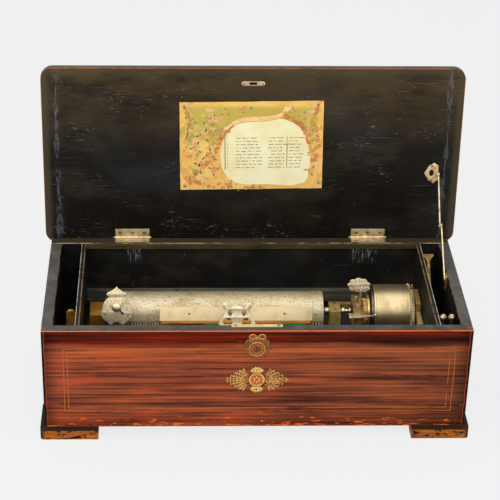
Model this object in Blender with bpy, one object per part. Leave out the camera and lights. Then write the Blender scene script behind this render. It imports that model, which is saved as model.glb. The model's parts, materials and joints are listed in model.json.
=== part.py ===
"""A lever-wound cylinder music box with its lid open, every piece at its real size in metres.

The case stands on four bracket feet. The long spring barrel and the pinned cylinder lie on one
axis behind a steel comb, between a narrow compartment at each end. Heights are measured from the
surface that the feet stand on, depths from the front of the case, and widths from its middle.
"""
import math

import bmesh
import bpy
from mathutils import Matrix, Vector

# Clearances and counts shared by many pieces
FIT = 0.0003
OVERRUN = 0.002
RUNNING = 0.00012
ROUND_SIDES = 20
SMALL_SIDES = 12
DRUM_SIDES = 36
CORNER_STEPS = 3
END_STEPS = 4
EYE_STEPS = 8
BALL_RINGS = 6
SHARP_DEG = 35
QUARTER_DEG = 90
HALF_DEG = 180

# Case
CASE_WIDTH = 0.560
CASE_DEPTH = 0.244
CASE_HEIGHT = 0.151
WALL = 0.015
BOTTOM_THICK = 0.010
ARRIS = 0.0008

# Bracket feet
FOOT_HEIGHT = 0.016
FOOT_PROUD = 0.006
FOOT_ARM = 0.077
FOOT_SIDE_ARM = 0.060
FOOT_BREADTH = 0.024
FOOT_ROUND = 0.005

# Partitions, ledge and rails
PARTITION_THICK = 0.006
LEFT_BAY = 0.0278
RIGHT_BAY = 0.0253
PARTITION_DROP = 0.0015
LEDGE_DEPTH = 0.004
LEDGE_HEIGHT = 0.0065
LEDGE_DROP = 0.0005
REAR_RAIL_DEPTH = 0.008
REAR_RAIL_HEIGHT = 0.0175
REAR_RAIL_LIFT = 0.050
BED_THICK = 0.006
BED_LIFT = 0.0290
BED_FRONT = 0.030
BED_FROM_BACK = 0.030
BED_INSET = 0.0040
BED_RAIL_BREADTH = 0.020

# Lid and its hinges
LID_THICK = 0.020
LID_OVERHANG = 0.0083
LID_CORNER = 0.016
LID_EDGE_FLAT = 0.008
LID_EDGE_ROUND = 0.012
LID_OPEN_DEG = 93.5
LID_EDGE_STEPS = 4
LID_CORNER_STEPS = 6
HINGE_WIDTH = 0.048
HINGE_LEAF = 0.012
HINGE_LEAF_THICK = 0.0015
HINGE_BACK = 0.0012
KNUCKLE_R = 0.0026
HINGE_PIN_R = 0.0011
HINGE_TIP_R = 0.0019

# Tune card, tacks and keeper on the lid
CARD_THICK = 0.0004
CARD_X = -0.0012
CARD_TURN_DEG = 0.8
KEEPER_WIDTH = 0.033
KEEPER_DEPTH = 0.0066
KEEPER_THICK = 0.0010

# Lid stay
STAY_GAP_TO_WALL = 0.0024
STAY_ARM_THICK = 0.0018
STAY_ARM_BREADTH = 0.0044
STAY_EYE_R = 0.0040
STAY_PIN_R = 0.0014
STAY_RIVET = 0.0006
STAY_SLACK = 0.0006
STAY_LONGER = 0.0044
STAY_UP_THE_LID = 0.100
STAY_OFF_THE_LID = 0.0058
STAY_FROM_BACK = 0.103
STAY_LOW_DROP = 0.0055
STAY_PLATE_HEIGHT = 0.022
STAY_PLATE_WIDTH = 0.011
BRACKET_LENGTH = 0.031
BRACKET_WIDTH = 0.020
BRACKET_THICK = 0.0012
BRACKET_HOLE_R = 0.0033
BRACKET_HOLE_STRETCH = 1.5
BRACKET_EAR_DROP = 0.0028

# Lock and escutcheon
LOCK_X = -0.0004
LOCK_WIDTH = 0.062
LOCK_DEPTH = 0.0070
LOCK_HEIGHT = 0.040
SELVEDGE_WIDTH = 0.0664
SELVEDGE_THICK = 0.0015
LOCK_INTO_WALL = 0.0050
BOLT_WIDTH = 0.0050
BOLT_DEPTH = 0.0030
BOLT_LENGTH = 0.012
BOLT_THROW = 0.006
KEYHOLE_R = 0.0033
KEYHOLE_SLOT = 0.0034
KEYHOLE_LENGTH = 0.0095
KEYHOLE_DEPTH = 0.0050
KEYHOLE_DROP = 0.0280
ESCUTCHEON_WIDTH = 0.0346
ESCUTCHEON_HEIGHT = 0.0388
ESCUTCHEON_THICK = 0.0016
ESCUTCHEON_EYE_DROP = 0.0024
ESCUTCHEON_EYE_STRETCH = 1.18
BOW_SQUASH = 0.8

# Movement axis, cylinder and comb
AXIS_FROM_BACK = 0.094
AXIS_LIFT = 0.088
CYLINDER_R = 0.0272
CYLINDER_LEFT = 0.097
RIGHT_WORKS = 0.183
CYLINDER_WALL = 0.0012
CAP_THICK = 0.0030
CYLINDER_SHIFT = 0.00315
ARBOR_R = 0.0030
TOOTH_PITCH = 0.0040
TOOTH_WIDTH = 0.0026
COMB_THICK = 0.0013
COMB_INSET = 0.0155
COMB_TIP_GAP = 0.0012
COMB_END = 0.0035
COMB_ROOT_SETBACK = 0.0012

# Bearings of the movement
BEARING_TOP = 0.0070
BLOCK_LEFT_WIDTH = 0.0200
BLOCK_RIGHT_WIDTH = 0.0156
BLOCK_BACK = 0.013
BLOCK_FRONT = 0.013
BLOCK_LEFT_FRONT = 0.022
BLOCK_LEFT_GAP = 0.0205
BLOCK_RIGHT_GAP = 0.0095

# Arbors, drive wheel and governor
COLLAR_R = 0.0060
COLLAR_THICK = 0.0036
COLLAR_CLEAR = 0.0024
SPRING_ARBOR_R = 0.0040
COUPLING_GAP = 0.0061
DRIVE_TEETH = 60
DRIVE_MODULE = 0.00055
DRIVE_THICK = 0.0060
DRIVE_FROM_RIGHT = 0.1274
DISC_R = 0.0236
DISC_THICK = 0.0033
PINION_TEETH = 10
WORM_WHEEL_TEETH = 30
WORM_MODULE = 0.0005
WORM_PITCH_R = 0.0019
WORM_OUTER_R = 0.002225
WORM_ROOT_R = 0.001475
SPINDLE_R = 0.00084
FAN_COLLAR_R = 0.00216
WORM_TURNS = 5
WORM_RING_STEPS = 6
WORM_SIDES = 10
WORM_WHEEL_THICK = 0.0024
WORM_WHEEL_FROM_RIGHT = 0.1372
GEAR_SHAFT_R = 0.0012
FAN_R = 0.0078
FAN_HEIGHT = 0.0042
FAN_LIFT = 0.0082
FAN_THICK = 0.0005
FRAME_FROM_RIGHT = 0.1420
FRAME_WIDTH = 0.0130
FRAME_CHEEK = 0.0022
FRAME_PLATE = 0.0035
FRAME_TOP = 0.0165
FRAME_BEHIND = 0.015
FRAME_FORWARD = 0.044
FRAME_LEG = 0.0045
FRAME_FRONT_LEG = 0.0063
CHEEK_REACH = 0.0072
CHEEK_RISE = 0.0048
FOOTSTEP_REACH = 0.0038
TIE_RISE = 0.0056

# Spring barrel and winding
BARREL_FROM_RIGHT = 0.1140
BARREL_LENGTH = 0.0515
BARREL_R = 0.0368
BARREL_BEAD = 0.0006
BARREL_WALL = 0.0022
COVER_BOSS_R = 0.0318
COVER_BOSS = 0.0030
COVER_THICK = 0.0030
SPRING_TURNS = 4
SPRING_THICK = 0.0012
SPRING_HUB_R = 0.0070
SPRING_STEPS = 12
SPRING_START = 0.0060
SPRING_END = 0.0044
RATCHET_TEETH = 60
RATCHET_R = 0.0290
RATCHET_DEPTH = 0.0016
RATCHET_BORE_R = 0.0232
RATCHET_THICK = 0.0048
SLEEVE_R = 0.0065
SLEEVE_ROOM = 0.0015
COCK_WIDTH = 0.0070
COCK_BACK = 0.026
COCK_FRONT = 0.046
COCK_TOP = 0.0190
LEVER_REACH = 0.0815
LEVER_REST_DEG = 42.5
LEVER_THICK = 0.0040
LEVER_HUB_R = 0.0090
LEVER_FROM_RIGHT = 0.0335
HANDLE_WIDTH = 0.0155
HANDLE_THICK = 0.0045
HANDLE_DEPTH = 0.013
SHANK_ROOT = 0.0030
CARRIER_ROOT = 0.0040
CLICK_OUT = 0.0096
CLICK_PIVOT_DEG = 204
CLICK_TIP_DEG = 228
CLICK_TIP_CLEAR = 0.0015
PAWL_NECK_DEG = 40
DRIVE_PAWL_LENGTH = 0.0120
DRIVE_PAWL_EYE_R = 0.0032
DRIVE_PAWL_DEG = 113

# Tune indicator, control plate and zither
TUNE_X = 0.0943
TUNE_FORWARD = 0.040
TUNE_LIFT = 0.1192
TUNE_R = 0.0195
TUNE_TILT_DEG = 25
TUNE_THICK = 0.0014
POST_WIDTH = 0.00975
POST_THICK = 0.0028
KNOB_R = 0.0064
KNOB_HEIGHT = 0.0070
POINTER_LENGTH = 0.0130
POINTER_ROOT = 0.0007
POINTER_TIP = 0.00028
POINTER_FRONT = 0.00112
POINTER_BACK = 0.00045
POINTER_REST_DEG = 45
CONTROL_FROM_RIGHT = 0.1355
CONTROL_WIDTH = 0.0315
CONTROL_HEIGHT = 0.0215
CONTROL_BASE_LIFT = 0.1270
CONTROL_FORWARD = 0.019
CONTROL_TILT_DEG = 20
CONTROL_LOBES = 9
LOBE_STEPS = 4
STEM_ASIDE = 0.00315
STEM_RISE = 0.0072
STEM_WIDTH = 0.0028
STEM_THICK = 0.0021
ZITHER_X = -0.0223
ZITHER_RISE = 0.0035
ZITHER_TILT_DEG = 26
ZITHER_PLATE_HEIGHT = 0.0160
ZITHER_PLATE_LIFT = 0.0045
ZITHER_LEFT = 0.1526
ZITHER_FROM_RIGHT = 0.1996
LYRE_WIDTH = 0.050
LYRE_HEIGHT = 0.0285
LYRE_THICK = 0.0014
ROLL_R = 0.0026
ROLL_LIFT = 0.00528
ZITHER_BASE_DEPTH = 0.0078
ZITHER_BASE_WIDTH = 0.0334
ZITHER_ARM_WIDTH = 0.0125
ZITHER_PIN_R = 0.00084
ZITHER_PIN_LENGTH = 0.036
ZITHER_EYE_R = 0.00224
ZITHER_EYE_OUT = 0.0120
ZITHER_EYE_HALF = 0.0045

# Levers
STOP_BACK = 0.01428
STOP_FRONT = 0.01972
STOP_WIDTH = 0.0130
STOP_WAIST_LOW = 0.0052
STOP_WAIST_HIGH = 0.0026
STOP_THICK = 0.0015
STOP_BALL_R = 0.0022
STOP_BALL_OUT = 0.00154
STOP_BALL_UP = 0.00207
STOP_SCREW_R = 0.00224
START_FROM_RIGHT = 0.0338
REPEAT_FROM_RIGHT = 0.0228
CONTROL_LEVER_Y = 0.043
CONTROL_PIVOT_LIFT = 0.060
CONTROL_LEVER_TOP = 0.1420
CONTROL_KNOB_R = 0.0042
CONTROL_LEVER_THICK = 0.0030
CONTROL_LEVER_BREADTH = 0.0060
CONTROL_KNOB_LIFT = 0.00126
LEVER_SIDE_PLAY = 0.0006
LEVER_EYE_R = 0.0048
LEVER_NECK_DEG = 35
LEVER_TIP_HALF = 0.0021
CHANGE_X = 0.0351
CHANGE_WIDTH = 0.0126
CHANGE_THICK = 0.0040
CHANGE_Y = 0.070
CHANGE_TOP = 0.1400
CHANGE_PIVOT_LIFT = 0.024
CHANGE_SPINDLE_R = 0.0025
CHANGE_HOLE_R = 0.00125
CHANGE_HOLE_ASIDE = 0.0021

# Places worked out from the sizes above
BODY_Z = FOOT_HEIGHT
RIM_Z = BODY_Z + CASE_HEIGHT
FLOOR_Z = BODY_Z + BOTTOM_THICK
HALF = CASE_WIDTH / 2
hinge_out_share = 0.2973
HINGE_X = CASE_WIDTH * hinge_out_share
INNER_LEFT = -HALF + WALL
INNER_RIGHT = HALF - WALL
INNER_FRONT = WALL
INNER_BACK = CASE_DEPTH - WALL
LEFT_PARTITION = INNER_LEFT + LEFT_BAY
RIGHT_PARTITION = INNER_RIGHT - RIGHT_BAY - PARTITION_THICK
MAIN_LEFT = LEFT_PARTITION + PARTITION_THICK
MAIN_RIGHT = RIGHT_PARTITION
AXIS_Z = BODY_Z + AXIS_LIFT
AXIS_Y = CASE_DEPTH - AXIS_FROM_BACK
FRAME_BACK_Y = AXIS_Y + FRAME_BEHIND
FRAME_FRONT_Y = AXIS_Y - FRAME_FORWARD
TUNE_Y = AXIS_Y - TUNE_FORWARD
CONTROL_Y = AXIS_Y - CONTROL_FORWARD
BED_BACK = CASE_DEPTH - BED_FROM_BACK
STAY_LOW_Y = CASE_DEPTH - STAY_FROM_BACK
BED_TOP = FLOOR_Z + BED_LIFT + BED_THICK
STAND_Z = BED_TOP + FIT
HINGE_Y = CASE_DEPTH + HINGE_BACK
HINGE_Z = RIM_Z + FIT / 2
LID_BACK = LID_OVERHANG - HINGE_BACK
TIP_ROOM = 2 * HINGE_TIP_R
LID_REACH = HINGE_Y + LID_OVERHANG
LID_OPEN = math.radians(LID_OPEN_DEG)
BOLT_Y = WALL - LOCK_INTO_WALL + LOCK_DEPTH / 2 + FIT

# The cylinder and its comb fill the room that the end bays and the spring barrel leave
CYLINDER_LENGTH = CASE_WIDTH - CYLINDER_LEFT - RIGHT_WORKS
TOOTH_COUNT = int((CYLINDER_LENGTH - COMB_INSET) / TOOTH_PITCH)
COMB_FIRST = CYLINDER_LEFT + COMB_INSET
comb_front_share = 0.21148
COMB_DEPTH = AXIS_Y - CYLINDER_R - COMB_TIP_GAP - CASE_DEPTH * comb_front_share
tooth_length_share = 0.6286
TOOTH_LENGTH = COMB_DEPTH * tooth_length_share
COMB_HEEL = COMB_DEPTH - TOOTH_LENGTH
zither_share = 0.4227
ZITHER_Y = AXIS_Y - CYLINDER_R - COMB_TIP_GAP - TOOTH_LENGTH * zither_share

# The tune card is sized to the lid
card_width_share = 0.3536
card_height_share = 0.5369
card_up_share = 0.5758
CARD_WIDTH = CASE_WIDTH * card_width_share
CARD_HEIGHT = CASE_DEPTH * card_height_share
CARD_UP = CASE_DEPTH * card_up_share


def across(distance):
    """The X of a distance measured from the left outer face of the case."""
    return distance - HALF


def inward(distance):
    """The X of a distance measured from the right outer face of the case."""
    return HALF - distance


def edge_profile():
    """The lid's moulded edge, from the underside up: how far it is set in, and how high."""
    points = [(0.0, 0.0), (0.0, LID_EDGE_FLAT)]
    rise = LID_THICK - LID_EDGE_FLAT
    for step in range(1, LID_EDGE_STEPS + 1):
        angle = math.pi / 2 * step / LID_EDGE_STEPS
        points.append((LID_EDGE_ROUND * (1 - math.cos(angle)), rise * math.sin(angle)
                       + LID_EDGE_FLAT))
    return points


def opened(forward, up):
    """Where a point of the closed lid, measured from the hinge, comes to when it is open."""
    y = -forward * math.cos(LID_OPEN) + up * math.sin(LID_OPEN)
    z = forward * math.sin(LID_OPEN) + up * math.cos(LID_OPEN)
    return y, z


def deepest():
    """How far behind the case's front the open lid reaches."""
    reach = [opened(LID_REACH - inset, height + FIT / 2)[0] for inset, height in edge_profile()]
    return HINGE_Y + max(reach)


FRONT_Y = (FOOT_PROUD - deepest()) / 2


# Helpers for objects and materials
def clear_scene():
    for old in list(bpy.data.objects):
        bpy.data.objects.remove(old, do_unlink=True)


def finish(name, colour, roughness, metallic=0.0):
    material = bpy.data.materials.new(name)
    material.use_nodes = True
    shader = material.node_tree.nodes["Principled BSDF"]
    shader.inputs["Base Color"].default_value = (*colour, 1.0)
    shader.inputs["Roughness"].default_value = roughness
    shader.inputs["Metallic"].default_value = metallic
    return material


def frame_at(name, parent, location, rotation=(0.0, 0.0, 0.0)):
    """An empty that marks an assembly's own origin, such as a joint's axis."""
    empty = bpy.data.objects.new(name, None)
    bpy.context.collection.objects.link(empty)
    empty.parent = parent
    empty.location = location
    empty.rotation_euler = rotation
    return empty


def piece(name, shape, material, parent, location=(0.0, 0.0, 0.0), smooth=False):
    """Turn a bmesh into a named object carried by its parent."""
    mesh = bpy.data.meshes.new(name)
    bmesh.ops.recalc_face_normals(shape, faces=shape.faces)
    shape.to_mesh(mesh)
    shape.free()
    mesh.materials.append(material)
    if smooth:
        mesh.shade_smooth()
        mesh.set_sharp_from_angle(angle=math.radians(SHARP_DEG))
    made = bpy.data.objects.new(name, mesh)
    bpy.context.collection.objects.link(made)
    made.parent = parent
    made.location = location
    return made


def combine(target, tools, operation):
    """Apply exact Booleans to a bmesh and return the result; the tools are used up."""
    base_mesh = bpy.data.meshes.new("base")
    bmesh.ops.recalc_face_normals(target, faces=target.faces)
    target.to_mesh(base_mesh)
    target.free()
    base = bpy.data.objects.new("base", base_mesh)
    bpy.context.collection.objects.link(base)
    made = [base]
    for tool in tools:
        bmesh.ops.recalc_face_normals(tool, faces=tool.faces)
        tool_mesh = bpy.data.meshes.new("tool")
        tool.to_mesh(tool_mesh)
        tool.free()
        cutter = bpy.data.objects.new("tool", tool_mesh)
        cutter.hide_render = True
        cutter.display_type = "WIRE"
        bpy.context.collection.objects.link(cutter)
        made.append(cutter)
        change = base.modifiers.new("change", "BOOLEAN")
        change.operation = operation
        change.solver = "EXACT"
        change.object = cutter
    graph = bpy.context.evaluated_depsgraph_get()
    result = bmesh.new()
    result.from_mesh(base.evaluated_get(graph).to_mesh())
    for old in made:
        bpy.data.objects.remove(old, do_unlink=True)
    return result


def cut(target, *tools):
    return combine(target, tools, "DIFFERENCE")


def joined(target, *tools):
    return combine(target, tools, "UNION")


# Helpers for shapes
def slab(low, high, shape=None):
    """A rectangular block between two corners."""
    shape = shape or bmesh.new()
    made = bmesh.ops.create_cube(shape, size=1.0)["verts"]
    size = Vector(high) - Vector(low)
    middle = (Vector(high) + Vector(low)) / 2
    bmesh.ops.scale(shape, vec=size, verts=made)
    bmesh.ops.translate(shape, vec=middle, verts=made)
    return shape


def softened(low, high, radius):
    """A block whose long edges are a little rounded."""
    shape = slab(low, high)
    bmesh.ops.bevel(shape, geom=shape.edges[:], offset=radius, segments=1, affect="EDGES")
    return shape


def turned(profile, sides, along="X", centre=(0.0, 0.0, 0.0), shape=None):
    """Spin a closed profile of (distance along, radius) points about an axis through centre."""
    shape = shape or bmesh.new()
    rings = []
    for distance, radius in profile:
        ring = []
        for step in range(sides if radius > 0 else 1):
            angle = 2 * math.pi * step / sides
            ring.append(shape.verts.new(on_axis(along, distance, radius, angle, centre)))
        rings.append(ring)
    for index, ring in enumerate(rings):
        skin(shape, ring, rings[(index + 1) % len(rings)])
    return shape


def on_axis(along, distance, radius, angle, centre):
    across_one = radius * math.cos(angle)
    across_two = radius * math.sin(angle)
    place = {"X": (distance, across_one, across_two),
             "Y": (across_two, distance, across_one),
             "Z": (across_one, across_two, distance)}[along]
    return Vector(place) + Vector(centre)


def skin(shape, ring, following):
    """Bridge two rings of a turned shape; a ring of one vertex is a pole."""
    count = max(len(ring), len(following))
    if count == 1:
        return
    for step in range(count):
        ahead = (step + 1) % count
        corners = [ring[step % len(ring)], following[step % len(following)]]
        if len(following) > 1:
            corners.append(following[ahead])
        if len(ring) > 1:
            corners.append(ring[ahead])
        shape.faces.new(corners)


def rod(start, end, radius, along="X", centre=(0.0, 0.0, 0.0), sides=SMALL_SIDES, shape=None):
    """A plain round bar between two distances along an axis."""
    profile = [(start, 0.0), (start, radius), (end, radius), (end, 0.0)]
    return turned(profile, sides, along, centre, shape)


def tube(start, end, outer, inner, along="X", centre=(0.0, 0.0, 0.0), sides=ROUND_SIDES,
         shape=None):
    profile = [(start, inner), (start, outer), (end, outer), (end, inner)]
    return turned(profile, sides, along, centre, shape)


def ball(centre, radius, sides=SMALL_SIDES, shape=None):
    profile = []
    for step in range(BALL_RINGS + 1):
        angle = math.pi * step / BALL_RINGS
        wide = radius * math.sin(angle) if 0 < step < BALL_RINGS else 0.0
        profile.append((-radius * math.cos(angle), wide))
    return turned(profile, sides, "X", centre, shape)


def sheet(outlines, low, high, plane="XY", shape=None):
    """A flat plate from one outline and any holes, standing between two heights."""
    shape = shape or bmesh.new()
    before = set(shape.faces)
    edges = []
    for outline in outlines:
        loop = [shape.verts.new(lay(plane, first, second, low)) for first, second in outline]
        edges += [shape.edges.new((corner, loop[index - 1])) for index, corner in enumerate(loop)]
    bmesh.ops.triangle_fill(shape, use_beauty=True, use_dissolve=False, edges=edges)
    flat = [face for face in shape.faces if face not in before]
    raised = bmesh.ops.extrude_face_region(shape, geom=flat, use_keep_orig=True)["geom"]
    moved = [item for item in raised if isinstance(item, bmesh.types.BMVert)]
    step = Vector(lay(plane, 0.0, 0.0, high)) - Vector(lay(plane, 0.0, 0.0, low))
    bmesh.ops.translate(shape, vec=step, verts=moved)
    return shape


def lay(plane, first, second, height):
    return {"XY": (first, second, height),
            "YZ": (height, first, second),
            "XZ": (first, height, second)}[plane]


def circle(radius, sides=SMALL_SIDES, centre=(0.0, 0.0), squash=1.0):
    return [(centre[0] + radius * math.cos(2 * math.pi * step / sides),
             centre[1] + radius * squash * math.sin(2 * math.pi * step / sides))
            for step in range(sides)]


def arc(radius, start_deg, end_deg, steps, centre=(0.0, 0.0)):
    points = []
    for step in range(steps + 1):
        angle = math.radians(start_deg + (end_deg - start_deg) * step / steps)
        points.append((centre[0] + radius * math.cos(angle), centre[1] + radius * math.sin(angle)))
    return points


def gear_outline(teeth, module, centre, phase_share=0.0):
    """Short straight-sided teeth with easy clearance, as on a clock wheel."""
    addendum_share = 0.7
    dedendum_share = 1.0
    root_share = 0.44
    tip_share = 0.20
    pitch_r = teeth * module / 2
    points = []
    for tooth in range(teeth):
        middle = 2 * math.pi * (tooth + phase_share) / teeth
        half_pitch = math.pi / teeth
        for radius, share in ((pitch_r - dedendum_share * module, -root_share),
                              (pitch_r + addendum_share * module, -tip_share),
                              (pitch_r + addendum_share * module, tip_share),
                              (pitch_r - dedendum_share * module, root_share)):
            angle = middle + half_pitch * share
            points.append((centre[0] + radius * math.cos(angle),
                           centre[1] + radius * math.sin(angle)))
    return points


def turn_about(shape, centre, angle, axis="X"):
    bmesh.ops.rotate(shape, cent=centre, matrix=Matrix.Rotation(angle, 3, axis),
                     verts=shape.verts)
    return shape


# Finishes, with the colours of the photographed box
def finishes():
    return {
        "red_wood": finish("stained_front", (0.16, 0.025, 0.017), 0.35),
        "black_wood": finish("black_lacquered_wood", (0.012, 0.011, 0.010), 0.32),
        "rim_wood": finish("worn_grey_rim", (0.03, 0.028, 0.026), 0.5),
        "raw_wood": finish("bare_foot_wood", (0.35, 0.13, 0.04), 0.6),
        "rail_wood": finish("painted_rail", (0.07, 0.075, 0.06), 0.6),
        "card": finish("printed_card", (0.75, 0.58, 0.30), 0.7),
        "brass": finish("tarnished_brass", (0.50, 0.36, 0.14), 0.35, 1.0),
        "gilt": finish("gilt_bronze", (0.38, 0.17, 0.03), 0.45, 1.0),
        "nickel": finish("nickelled_brass", (0.62, 0.58, 0.48), 0.28, 1.0),
        "steel": finish("tempered_steel", (0.42, 0.41, 0.38), 0.3, 1.0),
        "dark_steel": finish("blackened_steel", (0.06, 0.06, 0.058), 0.4, 1.0),
        "silver": finish("plated_cylinder", (0.60, 0.56, 0.46), 0.38, 1.0),
        "paper": finish("orange_paper", (0.62, 0.18, 0.04), 0.8),
        "iron": finish("bronzed_iron_bed", (0.16, 0.10, 0.05), 0.55, 0.6),
    }


# Case
def wooden_case(case, looks):
    wood = looks["black_wood"]
    front = softened((-HALF, 0, BODY_Z), (HALF, WALL, RIM_Z), ARRIS)
    lock_pocket = slab((LOCK_X - LOCK_WIDTH / 2 - FIT, WALL - LOCK_INTO_WALL - FIT,
                        RIM_Z - LOCK_HEIGHT - FIT),
                       (LOCK_X + LOCK_WIDTH / 2 + FIT, WALL + OVERRUN, RIM_Z + OVERRUN))
    selvedge_pocket = slab((LOCK_X - SELVEDGE_WIDTH / 2 - FIT, WALL - LOCK_INTO_WALL - FIT,
                            RIM_Z - SELVEDGE_THICK - 2 * FIT),
                           (LOCK_X + SELVEDGE_WIDTH / 2 + FIT, WALL + OVERRUN, RIM_Z + OVERRUN))
    front = cut(front, lock_pocket, selvedge_pocket, keyhole(-OVERRUN, WALL + OVERRUN))
    piece("front_board", front, looks["red_wood"], case)

    back = softened((-HALF, INNER_BACK, BODY_Z), (HALF, CASE_DEPTH, RIM_Z), ARRIS)
    pockets = []
    for side in (-1, 1):
        low_x = side * HINGE_X - HINGE_WIDTH / 2 - FIT
        high_x = side * HINGE_X + HINGE_WIDTH / 2 + FIT
        pockets.append(slab((low_x, CASE_DEPTH - HINGE_LEAF - FIT, RIM_Z - HINGE_LEAF_THICK - FIT),
                            (high_x, CASE_DEPTH + OVERRUN, RIM_Z + OVERRUN)))
        pockets.append(slab((low_x - TIP_ROOM, HINGE_Y - KNUCKLE_R - FIT,
                             HINGE_Z - KNUCKLE_R - FIT),
                            (high_x + TIP_ROOM, CASE_DEPTH + OVERRUN, RIM_Z + OVERRUN)))
    piece("back_board", cut(back, *pockets), wood, case)

    for name, low_x, high_x in (("left_board", -HALF, INNER_LEFT),
                                ("right_board", INNER_RIGHT, HALF)):
        side = softened((low_x, INNER_FRONT + FIT, BODY_Z), (high_x, INNER_BACK - FIT, RIM_Z),
                        ARRIS)
        piece(name, side, wood, case)
    bottom = slab((INNER_LEFT + FIT, INNER_FRONT + FIT, BODY_Z),
                  (INNER_RIGHT - FIT, INNER_BACK - FIT, FLOOR_Z))
    piece("bottom_board", bottom, looks["rail_wood"], case)


def keyhole(start, end):
    """The key's way in: a round hole with a slot below it, as one cutter along Y."""
    x = LOCK_X
    z = RIM_Z - KEYHOLE_DROP
    half_angle = math.degrees(math.asin(KEYHOLE_SLOT / 2 / KEYHOLE_R))
    outline = arc(KEYHOLE_R, half_angle - QUARTER_DEG, HALF_DEG + QUARTER_DEG - half_angle,
                  SMALL_SIDES, (x, z))
    outline += [(x - KEYHOLE_SLOT / 2, z - KEYHOLE_LENGTH),
                (x + KEYHOLE_SLOT / 2, z - KEYHOLE_LENGTH)]
    return sheet([outline], start, end, "XZ")


def bracket_feet(case, looks):
    """Each foot is an L in plan, a little proud of the case, with a rounded outer corner."""
    for row, back in (("front", False), ("back", True)):
        for end, side in (("left", -1), ("right", 1)):
            shape = sheet([foot_outline(side, back)], 0.0, BODY_Z - FIT)
            piece("foot_" + row + "_" + end, shape, looks["raw_wood"], case)


def foot_outline(side, back):
    corner = arc(FOOT_ROUND, HALF_DEG, HALF_DEG + QUARTER_DEG, CORNER_STEPS,
                 (FOOT_ROUND, FOOT_ROUND))
    outline = corner + [(FOOT_ARM, 0.0), (FOOT_ARM, FOOT_BREADTH), (FOOT_BREADTH, FOOT_BREADTH),
                        (FOOT_BREADTH, FOOT_SIDE_ARM), (0.0, FOOT_SIDE_ARM)]
    placed = []
    for out_x, out_y in outline:
        x = side * (HALF + FOOT_PROUD - out_x)
        y = CASE_DEPTH + FOOT_PROUD - out_y if back else out_y - FOOT_PROUD
        placed.append((x, y))
    return placed


def partitions_and_rails(case, looks):
    low_y = INNER_FRONT + FIT
    high_y = INNER_BACK - FIT
    top = RIM_Z - PARTITION_DROP
    left = slab((LEFT_PARTITION, low_y, FLOOR_Z + FIT), (MAIN_LEFT, high_y, top))
    piece("left_partition", left, looks["rim_wood"], case)
    right = slab((MAIN_RIGHT, low_y, FLOOR_Z + FIT), (MAIN_RIGHT + PARTITION_THICK, high_y, top))
    sleeve_hole = rod(MAIN_RIGHT - OVERRUN, MAIN_RIGHT + PARTITION_THICK + OVERRUN,
                      SLEEVE_R + SLEEVE_ROOM, "X", (0, AXIS_Y, AXIS_Z), ROUND_SIDES)
    piece("right_partition", cut(right, sleeve_hole), looks["rim_wood"], case)

    span_low = MAIN_LEFT + FIT
    span_high = MAIN_RIGHT - FIT
    ledge_top = RIM_Z - LEDGE_DROP
    ledge = slab((span_low, high_y - LEDGE_DEPTH, ledge_top - LEDGE_HEIGHT),
                 (span_high, high_y, ledge_top))
    piece("glass_ledge", ledge, looks["rim_wood"], case)
    rail_low = FLOOR_Z + REAR_RAIL_LIFT
    rail = slab((span_low, high_y - REAR_RAIL_DEPTH, rail_low),
                (span_high, high_y, rail_low + REAR_RAIL_HEIGHT))
    piece("rear_rail", rail, looks["rail_wood"], case)

    rails = slab((span_low, BED_FRONT, FLOOR_Z + FIT),
                 (span_high, BED_BACK, FLOOR_Z + BED_LIFT - FIT))
    well = slab((span_low + BED_RAIL_BREADTH, BED_FRONT + BED_RAIL_BREADTH, FLOOR_Z - OVERRUN),
                (span_high - BED_RAIL_BREADTH, BED_BACK - BED_RAIL_BREADTH,
                 FLOOR_Z + BED_LIFT + OVERRUN))
    piece("bed_frame", cut(rails, well), looks["rail_wood"], case)
    bed = slab((MAIN_LEFT + BED_INSET, BED_FRONT, BED_TOP - BED_THICK),
               (MAIN_RIGHT - FIT, BED_BACK, BED_TOP))
    bmesh.ops.bevel(bed, geom=bed.edges[:], offset=ARRIS, segments=1, affect="EDGES")
    piece("bedplate", bed, looks["iron"], case)


# Lid and hinges
def lid_outline(inset):
    """The lid's plan at one height, measured from the hinge axis, with round corners."""
    half = HALF + LID_OVERHANG - inset
    front = -(LID_REACH - inset)
    back = LID_BACK - inset
    radius = LID_CORNER - inset if LID_CORNER > inset + ARRIS else ARRIS
    points = []
    corners = ((half - radius, back - radius), (-half + radius, back - radius),
               (-half + radius, front + radius), (half - radius, front + radius))
    for turn, corner in enumerate(corners):
        start = turn * QUARTER_DEG
        points += arc(radius, start, start + QUARTER_DEG, LID_CORNER_STEPS, corner)
    return points


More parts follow.
